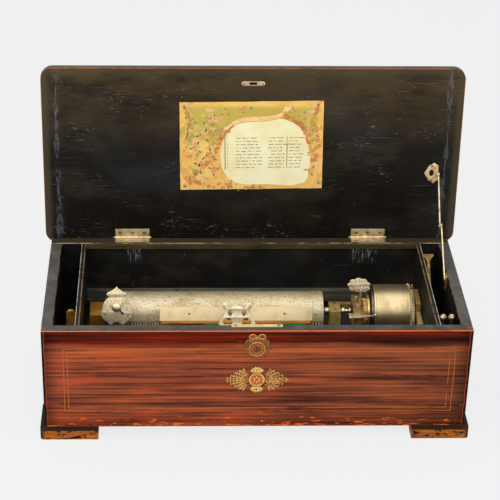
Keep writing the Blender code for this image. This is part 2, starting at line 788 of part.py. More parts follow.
def lid_panel(lid, looks):
    shape = bmesh.new()
    under = RIM_Z + FIT - HINGE_Z
    loops = []
    for inset, height in edge_profile():
        loops.append([shape.verts.new((x, y, under + height)) for x, y in lid_outline(inset)])
    for lower, upper in zip(loops, loops[1:]):
        skin(shape, lower, upper)
    shape.faces.new(loops[0])
    shape.faces.new(loops[-1])
    pockets = []
    for side in (-1, 1):
        low_x = side * HINGE_X - HINGE_WIDTH / 2 - FIT
        high_x = side * HINGE_X + HINGE_WIDTH / 2 + FIT
        pockets.append(slab((low_x, -HINGE_LEAF - HINGE_BACK - FIT, under - OVERRUN),
                            (high_x, 0, under + HINGE_LEAF_THICK + FIT)))
        pockets.append(slab((low_x - TIP_ROOM, -KNUCKLE_R - FIT, under - OVERRUN),
                            (high_x + TIP_ROOM, KNUCKLE_R + FIT, KNUCKLE_R + 2 * FIT)))
    keeper_y = BOLT_Y - HINGE_Y
    pockets.append(slab((LOCK_X - KEEPER_WIDTH / 2 - FIT, keeper_y - KEEPER_DEPTH / 2 - FIT,
                         under - OVERRUN),
                        (LOCK_X + KEEPER_WIDTH / 2 + FIT, keeper_y + KEEPER_DEPTH / 2 + FIT,
                         under + KEEPER_THICK + FIT)))
    pockets.append(slab((LOCK_X - BOLT_WIDTH, keeper_y - BOLT_DEPTH / 2 - FIT, under - OVERRUN),
                        (LOCK_X + BOLT_WIDTH, keeper_y + BOLT_DEPTH / 2 + FIT,
                         under + BOLT_THROW + 2 * FIT)))
    piece("lid_panel", cut(shape, *pockets), looks["black_wood"], lid, smooth=True)

    hole = [(LOCK_X - BOLT_WIDTH, keeper_y - BOLT_DEPTH / 2 - FIT),
            (LOCK_X + BOLT_WIDTH, keeper_y - BOLT_DEPTH / 2 - FIT),
            (LOCK_X + BOLT_WIDTH, keeper_y + BOLT_DEPTH / 2 + FIT),
            (LOCK_X - BOLT_WIDTH, keeper_y + BOLT_DEPTH / 2 + FIT)]
    radius = KEEPER_DEPTH / 2
    straight = KEEPER_WIDTH / 2 - radius
    rim = arc(radius, QUARTER_DEG, HALF_DEG + QUARTER_DEG, END_STEPS, (LOCK_X - straight, keeper_y))
    rim += arc(radius, -QUARTER_DEG, QUARTER_DEG, END_STEPS, (LOCK_X + straight, keeper_y))
    keeper = sheet([rim, hole], under, under + KEEPER_THICK)
    piece("keeper_plate", keeper, looks["brass"], lid)


def tune_card(lid, looks):
    """The card lies on the lid's underside, a little askew."""
    under = RIM_Z + FIT - HINGE_Z
    top = under - FIT
    card = slab((-CARD_WIDTH / 2, -CARD_HEIGHT / 2, -CARD_THICK), (CARD_WIDTH / 2, CARD_HEIGHT / 2,
                                                                    0))
    holder = Matrix.Translation((CARD_X, -CARD_UP, top)) @ Matrix.Rotation(
        -math.radians(CARD_TURN_DEG), 4, "Z")
    bmesh.ops.transform(card, matrix=holder, verts=card.verts)
    piece("tune_card", card, looks["card"], lid)


def hinge_leaf(side, fingers, low_z, high_z, hinge_y, hinge_z):
    """One leaf with its knuckles: fingers lists the thirds of the width that carry one."""
    left = side * HINGE_X - HINGE_WIDTH / 2
    third = HINGE_WIDTH / 3
    back_edge = hinge_y - KNUCKLE_R - FIT
    leaf = slab((left, hinge_y - HINGE_BACK - HINGE_LEAF, low_z),
                (left + HINGE_WIDTH, back_edge, high_z))
    knuckles = []
    for finger in fingers:
        start = left + finger * third + FIT / 2
        end = left + (finger + 1) * third - FIT / 2
        knuckles.append(slab((start, back_edge - FIT, low_z), (end, hinge_y, high_z)))
        knuckles.append(rod(start, end, KNUCKLE_R, "X", (0, hinge_y, hinge_z), SMALL_SIDES))
    return joined(leaf, *knuckles)


def hinges(case, lid, looks):
    """The case leaf keeps the pin; the lid leaf's middle knuckle turns on it."""
    under = RIM_Z + FIT - HINGE_Z
    reach = HINGE_WIDTH / 2 - FIT
    for end, side in (("left", -1), ("right", 1)):
        leaf = hinge_leaf(side, (0, 2), RIM_Z - HINGE_LEAF_THICK, RIM_Z, HINGE_Y, HINGE_Z)
        middle = side * HINGE_X
        low = middle - reach
        high = middle + reach
        profile = [(low - TIP_ROOM, 0.0), (low - HINGE_TIP_R, HINGE_TIP_R),
                   (low, HINGE_PIN_R), (high, HINGE_PIN_R), (high + HINGE_TIP_R, HINGE_TIP_R),
                   (high + TIP_ROOM, 0.0)]
        pin = turned(profile, SMALL_SIDES, "X", (0, HINGE_Y, HINGE_Z))
        piece("hinge_case_" + end, joined(leaf, pin), looks["brass"], case, smooth=True)
        leaf = hinge_leaf(side, (1,), under, under + HINGE_LEAF_THICK, 0.0, 0.0)
        hole = rod(low - HINGE_TIP_R, high + HINGE_TIP_R, HINGE_PIN_R + RUNNING, "X")
        piece("hinge_lid_" + end, cut(leaf, hole), looks["brass"], lid, smooth=True)


# Lid stay: two flat arms that straighten as the lid opens
def elbow(low, high, low_arm, high_arm):
    """The knuckle of two arms between two pivots, on the side away from the lid."""
    span = Vector(high) - Vector(low)
    along = (low_arm ** 2 - high_arm ** 2 + span.length_squared) / (2 * span.length)
    off = math.sqrt(max(low_arm ** 2 - along ** 2, 0.0))
    unit = span.normalized()
    aside = Vector((unit.y, -unit.x))
    return Vector(low) + unit * along + aside * off


def stay_geometry():
    """Pivots and knuckle, as (y, z), with the lid open and closed."""
    low = Vector((STAY_LOW_Y, RIM_Z - STAY_LOW_DROP))
    open_y, open_z = opened(STAY_UP_THE_LID, -STAY_OFF_THE_LID)
    high_open = Vector((HINGE_Y + open_y, HINGE_Z + open_z))
    high_closed = Vector((HINGE_Y - STAY_UP_THE_LID, HINGE_Z - STAY_OFF_THE_LID))
    both = (high_open - low).length + STAY_SLACK
    low_arm = (both + STAY_LONGER) / 2
    high_arm = both - low_arm
    return {"low": low, "high_open": high_open, "high_closed": high_closed,
            "low_arm": low_arm, "high_arm": high_arm,
            "knee_open": elbow(low, high_open, low_arm, high_arm),
            "knee_closed": elbow(low, high_closed, low_arm, high_arm)}


def heading(start, end):
    return math.atan2(end.y - start.y, end.x - start.x)


def turned_by(before, after):
    return (after - before + math.pi) % (2 * math.pi) - math.pi


def stay_turns():
    """How far each arm turns about +X while the lid closes, the upper one against the lid."""
    spots = stay_geometry()
    low_turn = turned_by(heading(spots["low"], spots["knee_open"]),
                         heading(spots["low"], spots["knee_closed"]))
    high_turn = turned_by(heading(spots["high_open"], spots["knee_open"]),
                          heading(spots["high_closed"], spots["knee_closed"]))
    return low_turn, high_turn - LID_OPEN


def stay_arm(length, low_x, high_x, angle, head_x=None):
    """An arm from the origin: a hole at this end, and the far eye plain or with a rivet head."""
    half = STAY_ARM_BREADTH / 2
    turn = math.degrees(math.asin(half / STAY_EYE_R))
    outline = arc(STAY_EYE_R, turn, 2 * HALF_DEG - turn, EYE_STEPS)
    outline += arc(STAY_EYE_R, HALF_DEG + turn, 3 * HALF_DEG - turn, EYE_STEPS, (length, 0.0))
    hole = circle(STAY_PIN_R + RUNNING, SMALL_SIDES)
    shape = sheet([outline, hole], low_x, high_x, "YZ")
    if head_x is not None:
        shape = joined(shape, rod(head_x, high_x - STAY_ARM_THICK / 2, STAY_PIN_R, "X",
                                  (0, length, 0)))
    return turn_about(shape, (0, 0, 0), angle)


def lid_stay(case, lid, looks):
    spots = stay_geometry()
    wall_x = INNER_RIGHT - FIT
    low_high_x = INNER_RIGHT - STAY_GAP_TO_WALL
    low_low_x = low_high_x - STAY_ARM_THICK
    high_high_x = low_low_x - FIT
    high_low_x = high_high_x - STAY_ARM_THICK

    low = spots["low"]
    top = RIM_Z - ARRIS
    plate = slab((low_high_x + FIT, low.x - STAY_PLATE_WIDTH / 2, top - STAY_PLATE_HEIGHT),
                 (wall_x, low.x + STAY_PLATE_WIDTH / 2, top))
    plate = joined(plate, rod(low_low_x, wall_x - FIT, STAY_PIN_R, "X", (0, low.x, low.y)))
    piece("stay_plate", plate, looks["brass"], case)

    lower = frame_at("stay_lower_axis", case, (0, low.x, low.y))
    angle = heading(low, spots["knee_open"])
    shape = stay_arm(spots["low_arm"], low_low_x, low_high_x, angle)
    piece("stay_lower_arm", shape, looks["nickel"], lower)

    upper = frame_at("stay_upper_axis", case, (0, spots["high_open"].x, spots["high_open"].y))
    angle = heading(spots["high_open"], spots["knee_open"])
    shape = stay_arm(spots["high_arm"], high_low_x, high_high_x, angle,
                     high_low_x - STAY_RIVET)
    piece("stay_upper_arm", shape, looks["nickel"], upper)

    under = RIM_Z + FIT - HINGE_Z - FIT
    middle_x = high_high_x - BRACKET_WIDTH / 2
    middle_y = -STAY_UP_THE_LID
    half_w = BRACKET_WIDTH / 2
    half_l = BRACKET_LENGTH / 2
    outline = [(middle_x + half_w * share_x, middle_y + half_l * share_y)
               for share_x, share_y in bracket_shares]
    hole = circle(BRACKET_HOLE_R, SMALL_SIDES, (middle_x, middle_y), BRACKET_HOLE_STRETCH)
    bracket = sheet([outline, hole], under - BRACKET_THICK, under)
    ear_x = high_low_x - FIT
    ear = slab((ear_x - BRACKET_THICK, middle_y - STAY_EYE_R, -STAY_OFF_THE_LID - BRACKET_EAR_DROP),
               (ear_x, middle_y + STAY_EYE_R, under - BRACKET_THICK / 2))
    pin = rod(ear_x - BRACKET_THICK / 2, high_high_x, STAY_PIN_R, "X",
              (0, middle_y, -STAY_OFF_THE_LID))
    piece("stay_bracket", joined(bracket, ear, pin), looks["brass"], lid)


bracket_shares = [(0.35, -1.0), (0.9, -0.72), (1.0, 0.55), (0.35, 1.0), (-0.35, 0.72),
                  (-1.0, 0.0), (-0.35, -0.72)]


# Lock
def lock(case, looks):
    back_y = WALL - LOCK_INTO_WALL
    low = (LOCK_X - LOCK_WIDTH / 2, back_y, RIM_Z - LOCK_HEIGHT)
    high = (LOCK_X + LOCK_WIDTH / 2, back_y + LOCK_DEPTH, RIM_Z - FIT)
    body = slab(low, high)
    selvedge = slab((LOCK_X - SELVEDGE_WIDTH / 2, back_y, RIM_Z - SELVEDGE_THICK - FIT),
                    (LOCK_X + SELVEDGE_WIDTH / 2, back_y + LOCK_DEPTH, RIM_Z - FIT))
    body = joined(body, selvedge)
    slot = slab((LOCK_X - BOLT_WIDTH / 2 - FIT, BOLT_Y - BOLT_DEPTH / 2 - FIT,
                 RIM_Z - BOLT_LENGTH - 2 * FIT),
                (LOCK_X + BOLT_WIDTH / 2 + FIT, BOLT_Y + BOLT_DEPTH / 2 + FIT, RIM_Z + OVERRUN))
    body = cut(body, slot, keyhole(back_y - OVERRUN, back_y + KEYHOLE_DEPTH))
    piece("lock_case", body, looks["brass"], case)
    bolt_top = RIM_Z - 2 * FIT
    bolt_frame = frame_at("bolt_slide", case, (LOCK_X, BOLT_Y, bolt_top))
    bolt = slab((-BOLT_WIDTH / 2, -BOLT_DEPTH / 2, FIT - BOLT_LENGTH),
                (BOLT_WIDTH / 2, BOLT_DEPTH / 2, 0))
    bmesh.ops.bevel(bolt, geom=bolt.edges[:], offset=ARRIS / 2, segments=1, affect="EDGES")
    piece("lock_bolt", bolt, looks["brass"], bolt_frame)

    # The escutcheon: an oval ring hung with drapery under a bow of two loops
    half_w = ESCUTCHEON_WIDTH / 2
    half_h = ESCUTCHEON_HEIGHT / 2
    centre_z = RIM_Z - KEYHOLE_DROP + half_h * escutcheon_eye_share
    right = [(half_w * x, half_h * z) for x, z in escutcheon_shares]
    outline = right + [(-x, z) for x, z in reversed(right)]
    outline = [(LOCK_X + x, centre_z + z) for x, z in outline]
    eye = circle(half_w * escutcheon_hole_share, ROUND_SIDES,
                 (LOCK_X, RIM_Z - KEYHOLE_DROP - ESCUTCHEON_EYE_DROP), ESCUTCHEON_EYE_STRETCH)
    loops = []
    for side in (-1, 1):
        middle = (LOCK_X + side * half_w * bow_out_share, centre_z + half_h * bow_up_share)
        loops.append(circle(half_w * escutcheon_loop_share, SMALL_SIDES, middle, BOW_SQUASH))
    plate = sheet([outline, eye] + loops, -ESCUTCHEON_THICK - FIT, -FIT, "XZ")
    piece("escutcheon", plate, looks["brass"], case)


escutcheon_eye_share = 0.22
escutcheon_hole_share = 0.42
escutcheon_loop_share = 0.17
bow_out_share = 0.45
bow_up_share = 0.78
escutcheon_shares = [(0.10, 0.62), (0.22, 0.88), (0.45, 1.0), (0.68, 0.92), (0.66, 0.70),
                     (0.82, 0.52), (0.92, 0.20), (0.98, -0.12), (0.90, -0.42), (0.98, -0.58),
                     (0.80, -0.74), (0.62, -0.66), (0.50, -0.86), (0.22, -1.0)]


# Cylinder and comb
def cylinder_group(case, looks):
    """The pinned cylinder slides on its arbor by a hair for each tune."""
    left = across(CYLINDER_LEFT)
    right = left + CYLINDER_LENGTH
    drive = frame_at("cylinder_axis", case, (0, AXIS_Y, AXIS_Z))
    inner = CYLINDER_R - CYLINDER_WALL
    bore = ARBOR_R + RUNNING
    inset = CAP_THICK / 3
    profile = [(left, inner), (left, CYLINDER_R), (right, CYLINDER_R), (right, inner),
               (right - inset, inner), (right - inset, bore), (right - inset - CAP_THICK, bore),
               (right - inset - CAP_THICK, inner), (left + inset + CAP_THICK, inner),
               (left + inset + CAP_THICK, bore), (left + inset, bore), (left + inset, inner)]
    piece("cylinder", turned(profile, DRUM_SIDES), looks["silver"], drive, smooth=True)

    block_left = left - BLOCK_LEFT_GAP - BLOCK_LEFT_WIDTH
    block_right = right + BLOCK_RIGHT_GAP + BLOCK_RIGHT_WIDTH
    collar_start = block_right + COLLAR_CLEAR
    collar_end = collar_start + COLLAR_THICK
    profile = [(block_left + FIT, 0), (block_left + FIT, ARBOR_R),
               (left - BLOCK_LEFT_GAP / 2, ARBOR_R), (left - BLOCK_LEFT_GAP / 2, COLLAR_R),
               (left - CYLINDER_SHIFT, COLLAR_R), (left - CYLINDER_SHIFT, ARBOR_R),
               (right + CYLINDER_SHIFT, ARBOR_R), (right + CYLINDER_SHIFT, COLLAR_R),
               (right + BLOCK_RIGHT_GAP - FIT, COLLAR_R), (right + BLOCK_RIGHT_GAP - FIT, ARBOR_R),
               (collar_start, ARBOR_R), (collar_start, COLLAR_R), (collar_end, COLLAR_R),
               (collar_end, 0)]
    piece("cylinder_arbor", turned(profile, ROUND_SIDES), looks["steel"], drive, smooth=True)
    return drive


def bearings(case, looks):
    left = across(CYLINDER_LEFT)
    right = left + CYLINDER_LENGTH
    top = AXIS_Z + BEARING_TOP
    rows = (("left_bearing", left - BLOCK_LEFT_GAP - BLOCK_LEFT_WIDTH, BLOCK_LEFT_WIDTH,
             BLOCK_LEFT_FRONT, looks["gilt"]),
            ("right_bearing", right + BLOCK_RIGHT_GAP, BLOCK_RIGHT_WIDTH, BLOCK_FRONT,
             looks["brass"]))
    for name, start, width, front, look in rows:
        block = slab((start, AXIS_Y - front, STAND_Z), (start + width, AXIS_Y + BLOCK_BACK, top))
        bore = rod(start - OVERRUN, start + width + OVERRUN, ARBOR_R + RUNNING, "X",
                   (0, AXIS_Y, AXIS_Z), ROUND_SIDES)
        piece(name, cut(block, bore), look, case)


def comb_tip_y():
    return AXIS_Y - CYLINDER_R - COMB_TIP_GAP


def comb_top():
    return AXIS_Z


def comb_span():
    left = across(COMB_FIRST) - COMB_END
    return left, left + TOOTH_COUNT * TOOTH_PITCH + 2 * COMB_END


def comb(case, looks):
    """One tooth for each note, cut from a steel plate screwed to a brass base."""
    left, right = comb_span()
    tips = comb_tip_y()
    roots = tips - TOOTH_LENGTH
    heel = roots - COMB_HEEL
    outline = [(right, heel), (left, heel), (left, roots)]
    for tooth in range(TOOTH_COUNT):
        start = left + COMB_END + tooth * TOOTH_PITCH + (TOOTH_PITCH - TOOTH_WIDTH) / 2
        end = start + TOOTH_WIDTH
        outline += [(start, roots), (start, tips), (end, tips), (end, roots)]
    outline.append((right, roots))
    plate = sheet([outline], comb_top() - COMB_THICK, comb_top())
    piece("comb", plate, looks["steel"], case)
    base = slab((left, heel, STAND_Z),
                (right, roots - COMB_ROOT_SETBACK, comb_top() - COMB_THICK - FIT))
    bmesh.ops.bevel(base, geom=base.edges[:], offset=ARRIS, segments=1, affect="EDGES")
    piece("comb_base", base, looks["brass"], case)


# Spring arbor, drive wheel, barrel and winding lever
def coupling_x():
    right = across(CYLINDER_LEFT) + CYLINDER_LENGTH
    return right + BLOCK_RIGHT_GAP + BLOCK_RIGHT_WIDTH + COLLAR_CLEAR + COLLAR_THICK


def barrel_right():
    return inward(BARREL_FROM_RIGHT) + BARREL_LENGTH


def cock_left():
    return barrel_right() + FIT + RATCHET_THICK + 2 * FIT + LEVER_THICK / 2


def spring_drive(case, drive, looks):
    start = coupling_x() + COUPLING_GAP
    barrel_left = inward(BARREL_FROM_RIGHT)
    hub_left = barrel_left + SPRING_START
    hub_right = barrel_right() - SPRING_END
    end = cock_left() + COCK_WIDTH
    profile = [(coupling_x() + FIT, 0), (coupling_x() + FIT, ARBOR_R), (start, ARBOR_R),
               (start, COLLAR_R), (start + COLLAR_THICK, COLLAR_R),
               (start + COLLAR_THICK, SPRING_ARBOR_R), (hub_left, SPRING_ARBOR_R),
               (hub_left, SPRING_HUB_R), (hub_right, SPRING_HUB_R), (hub_right, SPRING_ARBOR_R),
               (end, SPRING_ARBOR_R), (end, 0)]
    piece("spring_arbor", turned(profile, ROUND_SIDES), looks["steel"], drive, smooth=True)

    wheel_x = inward(DRIVE_FROM_RIGHT)
    seat_r = SPRING_ARBOR_R + FIT
    teeth = sheet([gear_outline(DRIVE_TEETH, DRIVE_MODULE, (0, 0)), circle(seat_r, ROUND_SIDES)],
                  wheel_x, wheel_x + DRIVE_THICK, "YZ")
    disc_x = wheel_x + DRIVE_THICK - FIT
    disc = tube(disc_x, disc_x + DISC_THICK, DISC_R, seat_r)
    piece("drive_wheel", joined(teeth, disc), looks["brass"], drive)

    # The barrel: a drum open at the left, closed by its cover, with the coiled spring inside
    winding = frame_at("barrel_axis", case, (0, AXIS_Y, AXIS_Z))
    right = barrel_right()
    inner = BARREL_R - BARREL_WALL
    bore = SPRING_ARBOR_R + RUNNING
    bead = BARREL_R + BARREL_BEAD
    profile = [(barrel_left, inner), (barrel_left, BARREL_R),
               (right - BARREL_WALL, BARREL_R), (right - BARREL_WALL, bead), (right, bead),
               (right, bore), (right - BARREL_WALL, bore), (right - BARREL_WALL, inner)]
    piece("spring_barrel", turned(profile, DRUM_SIDES), looks["brass"], winding, smooth=True)
    boss_left = barrel_left - COVER_BOSS
    profile = [(boss_left, bore), (boss_left, COVER_BOSS_R), (barrel_left + FIT, COVER_BOSS_R),
               (barrel_left + FIT, inner - FIT), (barrel_left + FIT + COVER_THICK, inner - FIT),
               (barrel_left + FIT + COVER_THICK, bore)]
    piece("barrel_cover", turned(profile, DRUM_SIDES), looks["dark_steel"], winding, smooth=True)
    piece("mainspring", mainspring(hub_left, hub_right, inner), looks["steel"], winding)

    ring_x = right + FIT
    ring = sheet([ratchet_outline(), circle(RATCHET_BORE_R, ROUND_SIDES)], ring_x,
                 ring_x + RATCHET_THICK, "YZ")
    piece("ratchet_ring", ring, looks["brass"], winding)
    return winding


def mainspring(start, end, outer):
    """A flat ribbon wound in a spiral from the hub to the drum's wall."""
    first = SPRING_HUB_R + SPRING_THICK
    last = outer - SPRING_THICK - FIT
    count = SPRING_TURNS * SPRING_STEPS
    outline = []
    back = []
    for step in range(count + 1):
        angle = 2 * math.pi * step / SPRING_STEPS
        radius = first + (last - first) * step / count
        outline.append((radius * math.cos(angle), radius * math.sin(angle)))
        wider = radius + SPRING_THICK
        back.append((wider * math.cos(angle), wider * math.sin(angle)))
    return sheet([outline + back[::-1]], start, end, "YZ")


def ratchet_outline():
    """Saw teeth: a long slope up and a short face that the pawl pushes on."""
    points = []
    for tooth in range(RATCHET_TEETH):
        start = 2 * math.pi * tooth / RATCHET_TEETH
        for radius, share in zip((RATCHET_R - RATCHET_DEPTH, RATCHET_R), ratchet_slope_shares):
            angle = start + 2 * math.pi / RATCHET_TEETH * share
            points.append((radius * math.cos(angle), radius * math.sin(angle)))
    return points


ratchet_slope_shares = (0.04, 0.96)


def barrel_bearing(case, looks):
    left = cock_left()
    top = AXIS_Z + COCK_TOP
    cock = slab((left, AXIS_Y - COCK_FRONT, STAND_Z), (left + COCK_WIDTH, AXIS_Y + COCK_BACK, top))
    bore = rod(left - OVERRUN, left + COCK_WIDTH + OVERRUN, SLEEVE_R + RUNNING, "X",
               (0, AXIS_Y, AXIS_Z), ROUND_SIDES)
    shoulder = slab((left - OVERRUN, AXIS_Y - COCK_FRONT - OVERRUN, AXIS_Z + SLEEVE_R),
                    (left + COCK_WIDTH + OVERRUN, AXIS_Y - COCK_BACK / 2, top + OVERRUN))
    pin_y, pin_z = click_pivot()
    cock = cut(cock, bore, shoulder)
    pin = rod(ratchet_middle() - RATCHET_THICK / 2, left + COCK_WIDTH / 2, STAY_PIN_R, "X",
              (0, pin_y, pin_z))
    piece("barrel_cock", joined(cock, pin), looks["brass"], case)


def ratchet_middle():
    return barrel_right() + FIT + RATCHET_THICK / 2


def click_pivot():
    """The holding pawl's pivot, below and in front of the ratchet ring."""
    reach = RATCHET_R + CLICK_OUT
    angle = math.radians(CLICK_PIVOT_DEG)
    return AXIS_Y + reach * math.cos(angle), AXIS_Z + reach * math.sin(angle)


def pawl_shape(length, eye_r, hole_r, low_x, high_x):
    """A pawl from its eye at the origin to a pointed tip along +Y."""
    low_tip, high_tip = pawl_tip_shares
    outline = arc(eye_r, PAWL_NECK_DEG, 2 * HALF_DEG - PAWL_NECK_DEG, EYE_STEPS)
    outline += [(length, eye_r * low_tip), (length, eye_r * high_tip)]
    holes = [circle(hole_r, SMALL_SIDES)] if hole_r else []
    return sheet([outline] + holes, low_x, high_x, "YZ")


pawl_tip_shares = (-0.25, 0.15)


def winding_pieces(case, looks):
    pin_y, pin_z = click_pivot()
    axis = frame_at("click_axis", case, (0, pin_y, pin_z))
    low_x = ratchet_middle() - RATCHET_THICK / 2
    high_x = ratchet_middle() + RATCHET_THICK / 2
    tip_angle = math.radians(CLICK_TIP_DEG)
    tip_r = RATCHET_R + CLICK_TIP_CLEAR
    tip = Vector((AXIS_Y + tip_r * math.cos(tip_angle) - pin_y,
                  AXIS_Z + tip_r * math.sin(tip_angle) - pin_z))
    pawl = pawl_shape(tip.length, STAY_EYE_R, STAY_PIN_R + RUNNING, low_x, high_x)
    turn_about(pawl, (0, 0, 0), math.atan2(tip.y, tip.x))
    piece("click", pawl, looks["steel"], axis)

    # The winding lever: grip, shank, hub and the sleeve that carries the driving pawl
    swing = frame_at("winding_axis", case, (0, AXIS_Y, AXIS_Z))
    lever_x = inward(LEVER_FROM_RIGHT)
    carrier_low = ratchet_middle() + RATCHET_THICK / 2 + FIT
    carrier_high = carrier_low + LEVER_THICK / 2
    bore = SPRING_ARBOR_R + RUNNING
    sleeve = tube(carrier_low, lever_x + LEVER_THICK, SLEEVE_R, bore)
    hub = tube(lever_x, lever_x + LEVER_THICK, LEVER_HUB_R, bore)
    shank_end = LEVER_REACH - HANDLE_DEPTH
    shank_half = LEVER_THICK / 2
    shank_start = LEVER_HUB_R - shank_half
    shank = sheet([[(shank_start, -SHANK_ROOT), (shank_end, -shank_half),
                    (shank_end, shank_half), (shank_start, SHANK_ROOT)]], lever_x,
                  lever_x + LEVER_THICK, "YZ")
    grip_x = lever_x + LEVER_THICK / 2
    grip = sheet([[(grip_x + HANDLE_WIDTH / 2 * x, LEVER_REACH - HANDLE_DEPTH * (1 - y))
                   for x, y in grip_shares]], -HANDLE_THICK / 2, HANDLE_THICK / 2)
    pawl_y = RATCHET_R + 2 * FIT + STAY_EYE_R
    root = SLEEVE_R - shank_half
    end = pawl_y + STAY_EYE_R
    carrier = sheet([[(root, -CARRIER_ROOT), (end, -shank_half), (end, shank_half),
                      (root, CARRIER_ROOT)]], carrier_low, carrier_high, "YZ")
    pin = rod(low_x, carrier_high - FIT, STAY_PIN_R, "X", (0, pawl_y, 0))
    rest = math.radians(LEVER_REST_DEG)
    drive_pawl = pawl_shape(DRIVE_PAWL_LENGTH, DRIVE_PAWL_EYE_R, None, low_x, carrier_low + FIT)
    turn_about(drive_pawl, (0, 0, 0), -math.radians(DRIVE_PAWL_DEG))
    bmesh.ops.translate(drive_pawl, vec=(0, pawl_y, 0), verts=drive_pawl.verts)
    lever = joined(sleeve, hub, shank, grip, carrier, pin, drive_pawl)
    piece("winding_lever", turn_about(lever, (0, 0, 0), rest), looks["nickel"], swing,
          smooth=True)


grip_shares = [(-0.25, 0.0), (0.25, 0.0), (0.38, 0.35), (0.85, 0.72), (1.0, 0.84), (1.0, 1.0),
               (-1.0, 1.0), (-1.0, 0.84), (-0.85, 0.72), (-0.38, 0.35)]


# Governor: a small wheel train that ends in a spinning fan
def governor_places():
    wheel_r = DRIVE_TEETH * DRIVE_MODULE / 2
    pinion_r = PINION_TEETH * DRIVE_MODULE / 2
    shaft_y = AXIS_Y - wheel_r - pinion_r
    worm_y = shaft_y - WORM_WHEEL_TEETH * WORM_MODULE / 2 - WORM_PITCH_R
    worm_x = inward(WORM_WHEEL_FROM_RIGHT) + WORM_WHEEL_THICK / 2
    return shaft_y, worm_y, worm_x


def governor(case, looks):
    shaft_y, worm_y, worm_x = governor_places()
    left = inward(FRAME_FROM_RIGHT)
    right = left + FRAME_WIDTH
    top = AXIS_Z + FRAME_TOP
    shaft = frame_at("worm_wheel_axis", case, (0, shaft_y, AXIS_Z))
    wheel_x = inward(WORM_WHEEL_FROM_RIGHT)
    pinion_x = inward(DRIVE_FROM_RIGHT)
    core = rod(left + FIT, pinion_x + DRIVE_THICK - FIT, GEAR_SHAFT_R, "X")
    wheel = sheet([gear_outline(WORM_WHEEL_TEETH, WORM_MODULE, (0, 0))], wheel_x,
                  wheel_x + WORM_WHEEL_THICK, "YZ")
    pinion = sheet([gear_outline(PINION_TEETH, DRIVE_MODULE, (0, 0), half_tooth_share)],
                   pinion_x + FIT,
                   pinion_x + DRIVE_THICK - FIT, "YZ")
    piece("worm_wheel", joined(core, wheel, pinion), looks["brass"], shaft)

    spindle = frame_at("fan_axis", case, (worm_x, worm_y, AXIS_Z))
    foot_top = -WORM_WHEEL_TEETH * WORM_MODULE / 2 - FRAME_PLATE
    screw = worm(foot_top + FIT, FRAME_TOP - FRAME_PLATE - FIT)
    piece("endless_screw", screw, looks["steel"], spindle, smooth=True)
    fan = slab((-FAN_R, -FAN_THICK / 2, FAN_LIFT), (FAN_R, FAN_THICK / 2, FAN_LIFT + FAN_HEIGHT))
    collar = rod(FAN_LIFT, FAN_LIFT + FAN_HEIGHT, FAN_COLLAR_R, "Z")
    bore = rod(FAN_LIFT - OVERRUN, FAN_LIFT + FAN_HEIGHT + OVERRUN, SPINDLE_R + FIT, "Z")
    piece("governor_fan", cut(joined(fan, collar), bore), looks["brass"], spindle)

    base = slab((left, FRAME_FRONT_Y, STAND_Z), (right, FRAME_BACK_Y, STAND_Z + FRAME_PLATE))
    roof = slab((left, FRAME_FRONT_Y, top - FRAME_PLATE), (right, FRAME_BACK_Y, top))
    back_leg = slab((left, FRAME_BACK_Y - FRAME_LEG, STAND_Z), (right, FRAME_BACK_Y, top))
    inset = (FRAME_WIDTH - FRAME_FRONT_LEG) / 2
    front_leg = slab((left + inset, FRAME_FRONT_Y, STAND_Z),
                     (right - inset, FRAME_FRONT_Y + FRAME_LEG, top))
    cheek_back = shaft_y + CHEEK_REACH
    cheek_front = worm_y - WORM_PITCH_R
    cheek_top = AXIS_Z + CHEEK_RISE
    cheeks = [slab((start, cheek_front, STAND_Z), (start + FRAME_CHEEK, cheek_back, cheek_top))
              for start in (left, right - FRAME_CHEEK)]
    foot_z = AXIS_Z + foot_top
    footstep = slab((left, cheek_front, foot_z - FRAME_PLATE),
                    (right, worm_y + FOOTSTEP_REACH, foot_z))
    tie = slab((across(CYLINDER_LEFT) + CYLINDER_LENGTH + BLOCK_RIGHT_GAP + BLOCK_RIGHT_WIDTH
                + FIT, FRAME_BACK_Y - FRAME_LEG, AXIS_Z - BEARING_TOP),
               (left + FRAME_CHEEK, FRAME_BACK_Y, AXIS_Z + TIE_RISE))
    frame = joined(base, roof, back_leg, front_leg, *cheeks, footstep, tie)
    hole = rod(left - OVERRUN, right + OVERRUN, GEAR_SHAFT_R + RUNNING, "X",
               (0, shaft_y, AXIS_Z))
    piece("governor_frame", cut(frame, hole), looks["brass"], case)


def worm(bottom, top):
    """The endless screw: one closed surface whose radius follows the thread's turn."""
    pitch = math.pi * WORM_MODULE
    half = WORM_TURNS * pitch / 2
    shape = bmesh.new()
    rings = []
    for z, radius in ((bottom, 0.0), (bottom, SPINDLE_R), (-half, SPINDLE_R)):
        rings.append(ring_at(shape, z, radius))
    count = WORM_TURNS * WORM_RING_STEPS
    for step in range(count + 1):
        z = -half + 2 * half * step / count
        rings.append(ring_at(shape, z, None, z / pitch))
    for z, radius in ((half, SPINDLE_R), (top, SPINDLE_R), (top, 0.0)):
        rings.append(ring_at(shape, z, radius))
    for lower, upper in zip(rings, rings[1:]):
        skin(shape, lower, upper)
    return shape


def ring_at(shape, z, radius, thread_turns=0.0):
    """A ring of the spindle, or of the thread where no radius is given."""
    if radius == 0.0:
        return [shape.verts.new((0, 0, z))]
    ring = []
    for side in range(WORM_SIDES):
        angle = 2 * math.pi * side / WORM_SIDES
        here = radius
        if radius is None:
            turn = (thread_turns - side / WORM_SIDES + thread_phase_share) % 1.0
            off_crest = abs(turn - half_tooth_share)
            rise = (thread_half_share - off_crest) / thread_flank_share
            here = WORM_ROOT_R + (WORM_OUTER_R - WORM_ROOT_R) * max(0.0, min(1.0, rise))
        ring.append(shape.verts.new((here * math.cos(angle), here * math.sin(angle), z)))
    return ring


